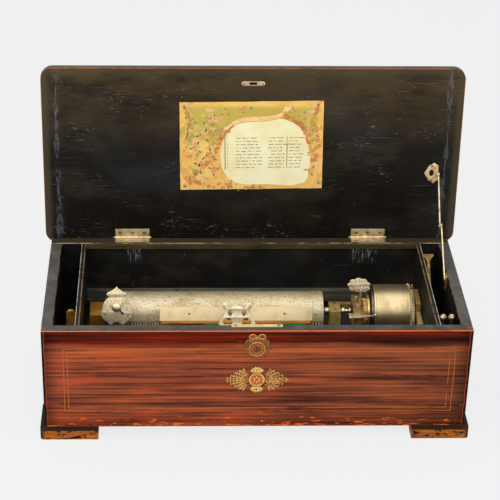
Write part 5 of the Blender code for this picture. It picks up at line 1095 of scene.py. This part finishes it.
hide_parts("tune_plate")
tune_tilt = turned(90 - TUNE_LEAN, "X")
screw_spots = in_mm([(-15.9, -9.4), (15.4, -9.4), (0.3, 15.6)])
tune_screws = [TUNE_SPOT + tune_tilt.to_3x3() @ Vector((x, y, 0)) for x, y in screw_spots]
screws(tune_screws, 1.5, 0.5, tune_tilt, "dial_screws", "case")
# A punched dot for each tune stands where its number would be engraved
DOTS_R = 14.2 * MM
dots = []
for number in range(TUNES):
    turn = math.radians(90 - 360 / TUNES * number)
    spot = Vector((DOTS_R * math.cos(turn), DOTS_R * math.sin(turn), 0.02 * MM))
    bpy.ops.mesh.primitive_cylinder_add(vertices=10, radius=0.45 * MM, depth=0.06 * MM, location=spot)
    dots.append(upright(added(), TUNE_SPOT, TUNE_LEAN))
finished(joined(dots), "dial_dots", "case", DARK_STEEL)

knob = lathed(in_mm([(0.3, 0.0), (0.3, 3.0), (1.4, 3.0), (2.0, 4.6), (2.6, 5.9), (4.6, 6.4), (6.2, 5.7),
    (6.9, 3.8), (7.1, 0.0)]), (0, 0, 0), "Z", 48)
hand = cut_plate([in_mm([(0, 1.5), (10.5, 0.9), (10.5, 1.9), (14.6, 0.0), (10.5, -1.9), (10.5, -0.9),
    (0, -1.5)])], 0.9 * MM, 0.1 * MM)
moved(hand, (0, 0, 0.35 * MM), turned(-45, "Z"))
upright(knob, TUNE_SPOT, TUNE_LEAN)
upright(hand, TUNE_SPOT, TUNE_LEAN)
finished(knob, "dial_knob", "pointer", BRIGHT_NICKEL, 40)
finished(hand, "dial_hand", "pointer", DARK_STEEL)
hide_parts("tune_pointer")
print("tune indicator:", len(tune_dial.data.polygons), "faces")

# %% [markdown]
# The scalloped plate by the barrel is a small sawn fan of pitted nickel on a bent stem. Its edge
# is a row of half-round bites, so the outline is worked out from angles, not drawn.

# %% Fan-shaped plate
low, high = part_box("control_plate")
FAN_X = 0.1445
FAN_FOOT_TOP = 0.1425
FAN_WIDE = 15.9 * MM
FAN_TALL = 11.0 * MM
FAN_STEPS = 72
SCALLOPS = 4.5
SCALLOP_DEEP = 0.15
fan_outline = []
for step in range(FAN_STEPS):
    turn = math.radians(-58 + 296 * step / (FAN_STEPS - 1))
    reach = 1 - SCALLOP_DEEP + SCALLOP_DEEP * abs(math.sin(turn * SCALLOPS + 0.5))
    x, y = (FAN_WIDE * reach * math.cos(turn), FAN_TALL * reach * math.sin(turn))
    # Below the middle the outline drifts sideways, towards the stem
    fan_outline.append((x - min(y, 0.0) / FAN_TALL * 2.2 * MM, y))
fan = cut_plate([fan_outline], PLATE_THICK, 0.25 * MM)
moved(fan, (0, FAN_TALL, -PLATE_THICK))
upright(fan, (FAN_X, low.y + 1.4 * MM, FAN_FOOT_TOP), 20)
fan_stem = box((FAN_X + 1.2 * MM, low.y + 0.3 * MM, low.z), (FAN_X + 4.2 * MM, low.y + 2.4 * MM, 0.149))
rounded(fan_stem, 0.3 * MM)
fan_foot = box((FAN_X - 1.4 * MM, low.y, low.z), (FAN_X + 4.3 * MM, low.y + 9.5 * MM, low.z + 1.4 * MM))
rounded(fan_foot, 0.3 * MM)
fan_plate = joined([fan, fan_stem, fan_foot])
finished(fan_plate, "fan_plate", "case", PITTED_NICKEL)
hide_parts("control_plate")

# %% [markdown]
# The zither is a roll of paper that can be laid on the teeth for a buzzing tone. Two long
# nickelled clips hold it, joined by a cast bracket in the shape of a lyre. The clips are
# blocks whose lower edge is folded forward; the lyre is sawn from its outline with four holes.

# %% Zither
PIVOT = Vector(joints["zither_turn"]["pos_m"])
ZITHER_LEAN = 26
lyre_low, lyre_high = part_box("zither_bracket")
LYRE_X = (lyre_low.x + lyre_high.x) / 2
LYRE_HALF = 25 * MM
LYRE_TALL = 33.0 * MM
lyre_half = [(0.14, 0.03), (0.55, 0.03), (0.92, 0.02), (1.0, 0.13), (0.9, 0.26), (0.78, 0.4),
    (0.68, 0.56), (0.63, 0.7), (0.67, 0.8), (0.79, 0.86), (0.8, 0.96), (0.68, 1.0), (0.56, 0.96),
    (0.5, 0.85), (0.41, 0.78), (0.3, 0.8), (0.18, 0.87), (0.06, 0.88)]
lyre_outline = [(LYRE_HALF * a, LYRE_TALL * b) for a, b in lyre_half]
lyre_outline += [(-x, y) for x, y in reversed(lyre_outline)]
lyre_holes = []
for hand_side in (-1, 1):
    for hole in ([(0.31, 0.48), (0.42, 0.46), (0.49, 0.58), (0.46, 0.71), (0.36, 0.72)],
            [(0.28, 0.13), (0.52, 0.11), (0.74, 0.13), (0.7, 0.27), (0.56, 0.37), (0.4, 0.36),
            (0.3, 0.26)]):
        lyre_holes.append([(hand_side * LYRE_HALF * a, LYRE_TALL * b) for a, b in hole])
lyre = cut_plate([lyre_outline] + lyre_holes, PLATE_THICK, 0.25 * MM, True, 5)
moved(lyre, (0, 0, -PLATE_THICK / 2))
upright(lyre, (LYRE_X, PIVOT.y, PIVOT.z), ZITHER_LEAN)
eyes = []
for aside in (-12 * MM, 12 * MM):
    middle = PIVOT + Vector((LYRE_X + aside - PIVOT.x, 0, 0))
    half_eye = Vector((4.5 * MM, 0, 0))
    eyes.append(rounded(bar(middle - half_eye, middle + half_eye, 2.24 * MM, 24), 0.3 * MM))
lyre = joined([lyre] + eyes)
finished(lyre, "lyre", "zither", LYRE_NICKEL)
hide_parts("zither_bracket")

CLIP_BACK = 1.0 * MM
CLIP_UP = 9.2 * MM


def on_zither(piece):
    return upright(piece, (0, PIVOT.y, PIVOT.z), ZITHER_LEAN)


clip_low, clip_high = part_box("zither_plate")
clips = []
for left, right in ((clip_low.x, LYRE_X - 14 * MM), (LYRE_X + 15 * MM, clip_high.x)):
    clip = box((left, CLIP_UP, -CLIP_BACK - 1.1 * MM), (right, CLIP_UP + 18 * MM, -CLIP_BACK))
    pushed(clip, lambda middle, normal: normal.y < -0.9, (0, -0.9 * MM, 0))
    pushed(clip, lambda middle, normal: normal.z > 0.9 and middle.y < CLIP_UP, (0, 0, 0.8 * MM))
    rounded(clip, 0.25 * MM)
    clips.append(on_zither(clip))
clips = joined(clips)
finished(clips, "zither_clips", "zither", CLIP_NICKEL)
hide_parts("zither_plate")
zither_tilt = turned(90 - ZITHER_LEAN, "X")
rivet_spot = PIVOT + zither_tilt.to_3x3() @ Vector((0, CLIP_UP + 9 * MM, -CLIP_BACK))
rivets = [(x, rivet_spot.y, rivet_spot.z) for x in (clip_low.x + 40 * MM, clip_high.x - 38 * MM)]
screws(rivets, 1.5, 0.6, zither_tilt, "zither_rivets", "zither")

roll_low, roll_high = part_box("zither_roll")
roll = lathed([(roll_low.x, 0.0), (roll_low.x, 2.2 * MM), (roll_low.x + 0.4 * MM, 2.6 * MM),
    (roll_high.x - 0.4 * MM, 2.6 * MM), (roll_high.x, 2.2 * MM), (roll_high.x, 0.0)], (0, 0, 0), "X",
    32)
moved(roll, (0, 6.6 * MM, -2.6 * MM))
on_zither(roll)
finished(roll, "paper_roll", "zither", PAPER)
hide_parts("zither_roll")
FELT_LEFT = -0.067
felt = box((FELT_LEFT, 2.6 * MM, -1.6 * MM), (roll_high.x - 6 * MM, 5.2 * MM, -0.4 * MM))
rounded(felt, 0.3 * MM)
on_zither(felt)
finished(felt, "felt_strip", "zither", GREEN_FELT)
print("zither:", len(lyre.data.polygons), "faces in the lyre")

# %% [markdown]
# The other solids of the movement already have their true outline, so finer copies stand in for
# them: coplanar facets merged and edges broken by a fifth of a millimetre, which is what lets
# small metal parts catch the light.

# %% Finer copies in the movement
for node, material, slot_name in (("comb", COMB_STEEL, "steel"), ("cylinder_arbor", STEEL, "steel"),
        ("spring_arbor", STEEL, "steel"), ("drive_wheel", BRASS, "brass"),
        ("worm_wheel", BRASS, "brass"), ("ratchet_ring", NICKEL, "nickel"), ("governor_frame", BRASS,
        "brass"), ("stop_lever", NICKEL, "nickel"), ("left_bearing", GILT, "gilt_bronze"),
        ("right_bearing", OLIVE_BRASS, "brass"), ("barrel_cock", OLIVE_BRASS, "brass"),
        ("click", STEEL, "steel"), ("comb_base", DARK_BRASS, "bronzed_iron"),
        ("zither_base", NICKEL, "nickel"), ("control_bracket", OLIVE_BRASS, "brass"),
        ("change_lever", GILT, "gilt_bronze"), ("start_lever", KNOB_BRASS, "brass"),
        ("repeat_lever", KNOB_BRASS, "brass"), ("winding_lever", DARK_BRASS, "brass"),
        ("stay_upper_arm", STAY_BRASS, "brass"), ("stay_lower_arm", STAY_BRASS, "brass"),
        ("stay_plate", BRASS, "brass"), ("stay_bracket", LOCK_BRASS, "brass")):
    refined(node, material, 0.15 * MM)
for word in ("start", "repeat"):
    low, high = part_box(word + "_lever")
    knob_profile = in_mm([(-6.4, 0.0), (-6.4, 2.2), (-5.2, 4.2), (-3.4, 4.65), (-1.6, 4.1), (-0.8, 2.7),
        (-0.2, 2.5), (0.3, 3.0), (0.9, 2.2), (1.1, 0.0)])
    knob_place = ((low.x + high.x) / 2, (low.y + high.y) / 2, high.z)
    finger_knob = lathed(knob_profile, knob_place, "Z", 40)
    finished(finger_knob, word + "_finger_knob", word + "_hand", KNOB_BRASS, 40)
print("finer copies:", sum(1 for o in bpy.data.objects if o.name.endswith("_refined")))

# %% [markdown]
# Screw heads on the bearings, the bridge over the cylinder arbor and the heel of the comb.

# %% Screws of the movement
BEARING_TOP = 0.111
bearing_places = [(0.1143, AXIS.y + y, BEARING_TOP) for y in (-0.009, 0.009)]
screws([(-0.2068, -0.004, BEARING_TOP)], 2.6, 1.1, FACING_UP, "left_bearing_screw", "case",
    DARK_STEEL)
screws(bearing_places, 2.4, 1.0, FACING_UP, "bearing_screws", "case")
frame_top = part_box("governor_frame")[1].z
bridge_places = [(FAN_X, y, frame_top) for y in (0.004, 0.0225)]
screws(bridge_places, 2.2, 0.9, FACING_UP, "bridge_screws", "case", NICKEL)
HEEL_SCREWS = 8
heel = [(-0.155 + 0.0335 * number, -0.0745, 0.104) for number in range(HEEL_SCREWS)]
screws(heel, 3.0, 1.3, FACING_UP, "heel_screws", "case")
print("screws in the movement:", len(bearing_places) + len(bridge_places) + len(heel))

# %% [markdown]
# The front carries a small brass inlay: a ring round a red disc, a crown above and below, and a
# leafy spray to either side. Inlay is sawn from sheet, so each layer is one flat plate cut by
# many outlines at once. Half a spray is drawn by a rule, leaves in pairs along bent stems, and
# then mirrored.

# %% Front inlay
INLAY_X = 0.0002
INLAY_Z = 0.0912
INLAY_THICK = 0.12 * MM


def leaf(x, y, turn_deg, length, breadth):
    """A pointed leaf from its stalk, as six points."""
    turn = math.radians(turn_deg)
    shape = [(0, 0), (0.35, 0.5), (0.7, 0.4), (1, 0), (0.7, -0.4), (0.35, -0.5)]
    return [(x + length * a * math.cos(turn) - breadth * b * math.sin(turn),
        y + length * a * math.sin(turn) + breadth * b * math.cos(turn)) for a, b in shape]


def stem(points, width):
    """A bent strip along some points."""
    left, right = [], []
    for number, (x, y) in enumerate(points):
        ahead_x, ahead_y = points[min(number + 1, len(points) - 1)]
        behind_x, behind_y = points[max(number - 1, 0)]
        length = math.hypot(ahead_x - behind_x, ahead_y - behind_y)
        across_x = -(ahead_y - behind_y) / length * width / 2
        across_y = (ahead_x - behind_x) / length * width / 2
        left.append((x + across_x, y + across_y))
        right.append((x - across_x, y - across_y))
    return left + right[::-1]


spray = []
blossoms = []
for up in (-1, 1):
    for reach, rise, bend in ((26.0, 0.8, 0.2), (21.0, 4.6, 0.8), (15.5, 8.4, 1.0), (10.0, 11.5, 1.4),
            (5.0, 13.4, 1.6)):
        path = []
        for step in range(7):
            share = step / 6
            height = 0.8 + rise * math.sin(share * math.pi / 2) + bend * share * share
            path.append((12.0 + reach * share, up * height))
        spray.append(stem(in_mm(path), 0.5 * MM))
        for step in range(1 if rise < 8 else 2, 7):
            x, y = path[step]
            for side_way in (-1, 1):
                spray.append(leaf(x * MM, (y + 0.3 * side_way * up) * MM, (25 + 42 * side_way) * up,
                    2.25 * MM, 1.15 * MM))
    spray.append(stem(in_mm([(12, up * 2.5), (14.5, up * 6.0), (12.6, up * 9.0), (10.6, up * 7.6)]),
        0.7 * MM))
    blossoms.append(ring(1.3 * MM, 12, (15.5 * MM, up * 2.2 * MM)))
    blossoms.append(ring(1.0 * MM, 12, (22.5 * MM, up * 5.4 * MM)))
spray.append(leaf(38 * MM, 0, 0, 4.0 * MM, 2.2 * MM))
blossoms.append(leaf(12.4 * MM, 0, 0, 4.6 * MM, 3.2 * MM))
crown = []
for up in (-1, 1):
    crown.append([(x, up * y) for x, y in in_mm(((-4.0, 10.8), (-8.2, 13.6), (-8.6, 16.6), (-6.4, 15.4),
        (-5.8, 19.0), (-3.4, 17.2), (-2.4, 20.8), (0.0, 18.6), (2.4, 20.8), (3.4, 17.2), (5.8, 19.0),
        (6.4, 15.4), (8.6, 16.6), (8.2, 13.6), (4.0, 10.8), (0.0, 12.0)))])
    for x, y, r in ((-3.6, 15.2, 0.9), (0.0, 15.4, 1.2), (3.6, 15.2, 0.9)):
        crown.append(ring(r * MM, 10, (x * MM, up * y * MM)))


def on_front(outlines, thick, name, material):
    """A thin flat plate let into the front of the case."""
    made = cut_plate(outlines, thick)
    upright(made, (INLAY_X, FRONT + 0.02 * MM, INLAY_Z))
    return finished(made, name, "case", material)


for side_way, word in ((1, "right"), (-1, "left")):
    on_front([[(side_way * x, y) for x, y in shape] for shape in spray], INLAY_THICK,
        "inlay_spray_" + word, INLAY_GOLD)
    on_front([[(side_way * x, y) for x, y in shape] for shape in blossoms], INLAY_THICK * 1.3,
        "inlay_blossoms_" + word, INLAY_RED)
on_front(crown, INLAY_THICK, "inlay_crowns", INLAY_GOLD)
on_front([ring(10.4 * MM, 48), ring(8.9 * MM, 48)], INLAY_THICK, "inlay_ring", INLAY_GOLD)
on_front([ring(8.3 * MM, 48), ring(7.6 * MM, 48)], INLAY_THICK, "inlay_inner_ring", INLAY_GOLD)
on_front([ring(7.4 * MM, 48)], INLAY_THICK, "inlay_disc", INLAY_RED)
star = []
for number in range(6):
    turn = math.radians(60 * number + 30)
    star.append(leaf(1.6 * MM * math.cos(turn), 1.6 * MM * math.sin(turn), 60 * number + 30, 4.2 * MM,
        2.2 * MM))
on_front(star, INLAY_THICK * 1.4, "inlay_star", INLAY_GOLD)
print("inlay outlines:", 2 * len(spray) + len(crown) + 6)

# %% [markdown]
# The keyhole plate is a small bronze casting: an oval ring hung from a bow of ribbon, with cloth
# draped behind. The ring and beads are turned and squashed a little, the drapery is a plate with
# rounded lobes, and the bow is two rings and a knot.
# The drapery is coloured darker as painted shade, and the rings and bow lighter as painted light.

# %% Keyhole plate
plate_low, plate_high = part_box("escutcheon")
KEY_X = (plate_low.x + plate_high.x) / 2
KEY_Z = RIM - 25.4 * MM
drapery_half = [(0.0, 17.0), (4.6, 18.4), (8.6, 17.2), (10.2, 14.2), (13.6, 12.6), (16.0, 8.6),
    (15.2, 5.4), (16.2, 2.0), (15.6, -3.0), (13.8, -6.2), (12.2, -9.6), (8.4, -12.8), (4.2, -14.8),
    (0.0, -15.6)]
drapery_half = in_mm(drapery_half)
drapery = cut_plate([drapery_half + [(-x, y) for x, y in reversed(drapery_half[1:-1])]], 1.1 * MM,
    0.35 * MM, True, 5)
casting = [drapery]
raised = []
for radius, thick_r, lift in ((10.2 * MM, 1.35 * MM, 1.5 * MM), (6.6 * MM, 0.8 * MM, 1.7 * MM)):
    bpy.ops.mesh.primitive_torus_add(major_radius=radius, minor_radius=thick_r, major_segments=48,
        minor_segments=12, location=(0, -1.2 * MM, lift))
    raised.append(added())
for x in (-6.0, 6.0):
    bpy.ops.mesh.primitive_torus_add(major_radius=3.4 * MM, minor_radius=1.1 * MM, major_segments=28,
        minor_segments=10, location=(x * MM, 17.6 * MM, 1.5 * MM))
    raised.append(added((1.25, 1.0, 0.8)))
bpy.ops.mesh.primitive_uv_sphere_add(segments=20, ring_count=12, radius=2.2 * MM,
    location=(0, 15.4 * MM, 1.7 * MM))
raised.append(added((1.1, 1.0, 0.6)))
for x, y, turn in ((-12.4, 6.0, 24), (12.4, 6.0, -24), (-13.0, -0.6, -10), (13.0, -0.6, 10),
        (-10.0, -8.0, -38), (10.0, -8.0, 38)):
    bpy.ops.mesh.primitive_uv_sphere_add(segments=16, ring_count=10, radius=1.8 * MM)
    casting.append(moved(added((0.62, 1.9, 0.5)), (x * MM, y * MM, 1.1 * MM), turned(turn, "Z")))
casting = joined(casting)
upright(casting, (KEY_X, FRONT - 0.3 * MM, KEY_Z))
finished(casting, "keyhole_casting", "case", SHADED_CASTING_BRONZE, 50)
raised = upright(joined(raised), (KEY_X, FRONT - 0.3 * MM, KEY_Z))
finished(raised, "keyhole_rings", "case", LIT_RAISED_BRONZE, 50)
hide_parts("escutcheon")
centre = cut_plate([ring(6.2 * MM, 40)], 0.6 * MM, 0.2 * MM)
upright(centre, (KEY_X, FRONT - 1.35 * MM, KEY_Z - 1.2 * MM))
finished(centre, "keyhole_disc", "case", RED_METAL)
hole = cut_plate([in_mm([(1.5, 0.9), (0.8, 2.1), (-0.8, 2.1), (-1.5, 0.9), (-0.9, -0.6), (-1.1, -3.6),
    (1.1, -3.6), (0.9, -0.6)])], 0.1 * MM)
upright(hole, (KEY_X, FRONT - 2.0 * MM, KEY_Z - 1.0 * MM))
finished(hole, "keyhole_shadow", "case", DARK_STEEL)
print("keyhole casting:", len(casting.data.polygons), "faces")

# %% [markdown]
# Hinges, lock, keeper and stay keep their sawn shapes, with their edges broken and their screws
# set in. Screw heads on the lid face the front, those on the case face up.

# %% Brass fittings
for node, material in (("hinge_lid_left", HINGE_BRASS), ("hinge_lid_right", HINGE_BRASS),
        ("hinge_case_left", HINGE_BRASS), ("hinge_case_right", HINGE_BRASS), ("lock_case", LOCK_BRASS),
        ("lock_bolt", LOCK_BRASS), ("keeper_plate", HINGE_BRASS)):
    refined(node, material, 0.15 * MM)
lid_tilt = turned(90 - LID_LEAN, "X")
for word in ("left", "right"):
    low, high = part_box("hinge_lid_" + word)
    middle = (low.x + high.x) / 2
    lid_places = [(middle + x * MM, low.y + 0.62 * MM, high.z - 4.8 * MM) for x in (-17, 0, 17)]
    screws(lid_places, 2.3, 0.7, lid_tilt, "hinge_lid_screws_" + word, "lid")
    low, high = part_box("hinge_case_" + word)
    case_places = [(middle + x * MM, low.y + 4.4 * MM, RIM - 0.62 * MM) for x in (-17, 0, 17)]
    screws(case_places, 2.3, 0.7, FACING_UP, "hinge_case_screws_" + word, "case")
low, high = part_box("keeper_plate")
keeper_places = [((low.x + high.x) / 2 + x * MM, low.y + 0.54 * MM, (low.z + high.z) / 2)
    for x in (-13.2, 13.2)]
screws(keeper_places, 1.5, 0.6, lid_tilt, "keeper_screws", "lid")
lock_places = [(x * MM, -0.1235, RIM - 0.3 * MM) for x in (-28.4, 27.6)]
screws(lock_places, 1.9, 0.5, FACING_UP, "lock_screws", "case")
low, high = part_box("stay_bracket")
bracket_places = [((low.x + high.x) / 2, high.y - 2.6 * MM, z) for z in (low.z + 4 * MM,
    high.z - 4 * MM)]
screws(bracket_places, 1.7, 1.2, lid_tilt, "stay_bracket_screws", "lid")
print("fittings refined")

# %% [markdown]
# The tune card is old printed paper tacked to the lid. Its print is built from flat pieces of
# colour a few hundredths of a millimetre thick: a cream field, a plain ribbon, sprigs and
# blossoms, ruled lines and ten rows of pen strokes that only suggest writing.

# %% Tune card
CARD_X = -1.2 * MM
CARD_UP = 140.5 * MM
CARD_TURN = turned(0.8, "Z")
STICK = 0.03 * MM


def on_card(outlines, layer, name, material, smooth=False):
    """Colour laid on the card, its outlines measured in mm from the card's middle."""
    made = cut_plate([in_mm(shape) for shape in outlines], STICK, 0.0, smooth, 3)
    moved(made, (CARD_X, CARD_UP, 0.47 * MM + 0.05 * MM * layer), CARD_TURN)
    return finished(on_lid(made), name, "lid", material)


def painted_sheet():
    """Golden margins, an olive sky, and a left side dabbed with peach, coral and green."""
    material, shader, place = new_finish("card_sheet", 0.0, 0.2)
    right = place.x - CARD_X
    up = place.z - (HINGE.z + CARD_UP)
    soft = cloud(place, (0.03, 0.03, 0.022), 5.0, 3.0, 0.6)
    colour = tint(ramp(soft, 0.4, 0.62), (0.96, 0.61, 0.17), (0.86, 0.48, 0.1))
    off_x = ramp(abs(right), 0.0925, 0.086)
    off_z = ramp(abs(up), 0.06, 0.054)
    inside = off_x * off_z
    lifted = up + ramp(soft, 0.3, 0.7, -0.016, 0.016)
    sky_part = ramp(lifted, -0.006, 0.02, 0.0, 0.85) * inside
    colour = tint(sky_part, colour, (0.52, 0.43, 0.075))
    left_part = ramp(right, -0.034, -0.056) * inside
    low_part = ramp(up, -0.036, -0.05) * inside
    busy = larger(left_part, low_part * 0.5)
    edges = ramp(abs(right), 0.07, 0.08) * 0.6
    busy = larger(busy, edges)
    for seed, size, low, tone in ((4.0, 0.02, 0.5, (0.9, 0.52, 0.23)),
            (9.0, 0.012, 0.56, (0.66, 0.22, 0.07)), (14.0, 0.014, 0.58, (0.34, 0.33, 0.07)),
            (21.0, 0.007, 0.6, (0.97, 0.74, 0.36)), (27.0, 0.008, 0.64, (0.1, 0.2, 0.075)),
            (33.0, 0.005, 0.66, (0.25, 0.09, 0.04))):
        dabs = even_cloud(place, size, 4.0, seed, 0.6, 0.6)
        dabs = ramp(dabs, low, low + 0.07, 0.0, 0.85) * busy
        colour = tint(dabs, colour, tone)
    feed(shader, colour, 0.7, relief(soft, 0.0001, 0.2))
    return material


CARD_SHEET = painted_sheet()
edge_chance = random.Random(5)
sheet_outline = []
corners = [(-98.8, -65.4), (98.8, -65.4), (98.8, 65.4), (-98.8, 65.4)]
for (x0, y0), (x1, y1) in zip(corners, corners[1:] + corners[:1]):
    for step in range(12):
        share = step / 12
        wobble = 0.45 * edge_chance.random()
        x = x0 + (x1 - x0) * share
        y = y0 + (y1 - y0) * share
        sheet_outline.append((x * (1 - wobble / 99), y * (1 - wobble / 65)))
sheet = cut_plate([in_mm(sheet_outline)], 0.35 * MM)
moved(sheet, (CARD_X, CARD_UP, 0.1 * MM), CARD_TURN)
finished(on_lid(sheet), "card_sheet", "lid", CARD_SHEET)
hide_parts("tune_card")

field = [(-41, -30), (-36, -42), (-30, -50), (-14, -57), (20, -58), (72, -57), (78, -50), (78, 4),
    (74, 16), (66, 27), (52, 36), (36, 40), (0, 37), (-18, 33), (-31, 22), (-40, 6)]
on_card([field], 1, "card_field", CARD_CREAM, True)
ribbon = stem([(-26, 33), (-14, 38), (2, 40), (18, 40), (32, 42), (44, 47)], 6.5)
tails = [[(-36, 22), (-31, 25), (-25, 32), (-29, 33), (-33, 29), (-38, 28)],
    [(42, 44), (50, 50), (56, 58), (49, 56), (46, 58), (42, 50)]]
on_card([ribbon] + tails, 2, "card_ribbon", CARD_RIBBON)
on_card([stem([(-24, 31), (-31, 25), (-36, 18), (-41, 8)], 2.6),
    stem([(46, 42), (57, 36), (67, 28), (75, 16), (78, 2)], 2.8)], 3.5, "card_swags", CARD_CORAL)
on_card([stem([(-26, 29.4), (-14, 34.4), (2, 36.4), (18, 36.4), (32, 38.4), (45, 43.4)], 0.8),
    stem([(-26, 36.8), (-14, 41.6), (2, 43.5), (18, 43.5), (32, 45.4), (44, 50.4)], 0.5)], 3,
    "card_ribbon_edges", CARD_CORAL)

pen = random.Random(21)
ink = []
for row in range(10):
    y = 11.6 - 4.9 * row
    ink.append(leaf(-33.2, y, 90, 1.6, 0.9))
    for start, end in ((-21, 6 + 12 * pen.random()), (22 + 6 * pen.random(), 44),
            (52, 70 - 6 * pen.random())):
        x = start
        while x < end:
            word = 2.5 + 7 * pen.random()
            stroke = []
            steps = max(3, int(word / 0.7))
            for step in range(steps):
                swing = math.sin(step * 1.9) * (0.4 + 0.6 * pen.random())
                stroke.append((x + word * step / steps, y + 1.05 * swing))
            ink.append(stem(stroke, 0.6))
            x += word + 1.6
ink += [stem([(-36.6, 14), (-36.2, -36)], 0.9), stem([(49, 14), (49.2, -34)], 0.6)]
on_card(ink, 4, "card_ink", CARD_INK)

flowers = random.Random(8)
greens, corals, golds = [], [], []
for trail, count in ((((-90, -50), (-70, -58), (-40, -60), (-10, -62), (20, -63)), 26),
        (((-84, -52), (-70, -30), (-52, -16), (-44, 10), (-30, 26)), 34),
        (((44, 46), (62, 36), (76, 22), (82, 2), (84, -30)), 24),
        (((-92, 58), (-84, 40), (-90, 10), (-88, -20)), 14), (((92, 58), (86, 40), (92, 10), (90, -20)),
        14)):
    greens.append(stem(list(trail), 0.6))
    for number in range(count):
        share = number / count * (len(trail) - 1)
        first = int(share)
        (x0, y0), (x1, y1) = (trail[first], trail[min(first + 1, len(trail) - 1)])
        x = x0 + (x1 - x0) * (share - first) + 7 * (flowers.random() - 0.5)
        y = y0 + (y1 - y0) * (share - first) + 7 * (flowers.random() - 0.5)
        greens.append(leaf(x, y, 360 * flowers.random(), 3.0 + 2 * flowers.random(), 1.6))
        if flowers.random() < 0.45:
            for petal in range(5):
                turn = 72 * petal + 50 * flowers.random()
                corals.append(leaf(x + 2 * math.cos(math.radians(turn)) * 0.3,
                    y + 2 * math.sin(math.radians(turn)) * 0.3, turn, 2.6, 2.0))
        elif flowers.random() < 0.5:
            golds.append(ring(0.9 + 0.5 * flowers.random(), 8, (x + 2, y - 1)))
peaches, teals = [], []
for x, y, size in ((-66, 16, 9.0), (-76, -2, 8.0), (-58, -14, 9.5), (-70, -30, 9.0), (-52, -36, 7.0),
        (-58, 36, 7.0), (-82, 32, 6.0), (-80, -46, 6.0), (-44, 22, 5.5), (80, 20, 5.5), (85, -10, 6.0),
        (82, -38, 7.0), (70, 44, 5.5), (56, 52, 5.0), (-30, -57, 5.5), (-36, 50, 5.5), (-12, 54, 4.5)):
    tilt = 72 * flowers.random()
    for petal in range(5):
        turn = math.radians(72 * petal + tilt)
        peaches.append(leaf(x + 0.8 * math.cos(turn), y + 0.8 * math.sin(turn), 72 * petal + tilt,
            size * 0.62, size * 0.62))
    golds.append(ring(size * 0.15, 10, (x, y)))
    for way in (20, 140, 260):
        turn = math.radians(way + tilt)
        teals.append(leaf(x + size * 0.62 * math.cos(turn), y + size * 0.62 * math.sin(turn),
            way + tilt + 20, size * 0.75, size * 0.3))
on_card(teals, 4, "card_foliage", CARD_TEAL)
on_card(peaches, 5, "card_blooms", CARD_PEACH)
on_card(greens, 5.5, "card_leaves", CARD_GREEN)
on_card(corals, 6, "card_petals", CARD_CORAL)
on_card(golds, 7, "card_buds", CARD_GOLD)
tacks = in_mm([(-92.0, 59.0), (-92.4, -59.3), (-0.6, 56.1), (91.1, 59.9), (93.6, -56.9)])
tack_places = []
for x, y in tacks:
    flat = CARD_TURN @ Vector((x, y, 0))
    spot = lid_tilt @ Vector((flat.x + CARD_X, flat.y + CARD_UP, 0.7 * MM))
    tack_places.append((spot.x, spot.y + HINGE.y, spot.z + HINGE.z))
screws(tack_places, 1.6, 0.8, lid_tilt, "card_tacks", "lid")
print("card:", len(ink), "strokes", len(greens), "leaves", len(corals), "petals")

# %% [markdown]
# The finer copies have dressed their solids already. All the other solids get their finish here.
# They keep their shape and place: only their material changes, so the box on the screen is the
# one that was checked.

# %% Finishes of the solids
dressed(FRONT_STAIN, "front_board")
dressed(CASE_BLACK, "left_board", "right_board")
dressed(BACK_BLACK, "back_board")
dressed(PARTITION_BLACK, "left_partition", "right_partition")
dressed(LID_BLACK, "lid_panel")
dressed(RAIL, "rear_rail")
dressed(FOOT_WOOD, "foot_front_left", "foot_front_right", "foot_back_left", "foot_back_right")
dressed(INNER_WOOD, "bottom_board")
dressed(LEDGE_WOOD, "glass_ledge")
dressed(BED_IRON, "bedplate", "bed_frame")
dressed(CARD_OCHRE, "tune_card")
dressed(BRASS, "escutcheon", "governor_fan")
dressed(NICKEL, "tune_plate", "tune_pointer", "control_plate", "zither_bracket", "zither_plate",
    "spring_barrel", "barrel_cover")
dressed(STEEL, "endless_screw", "mainspring")
dressed(CYLINDER_PLATE, "cylinder")
dressed(PAPER, "zither_roll")
print("solids dressed:", sum(1 for node in frame["nodes"].values() if node.data.materials))
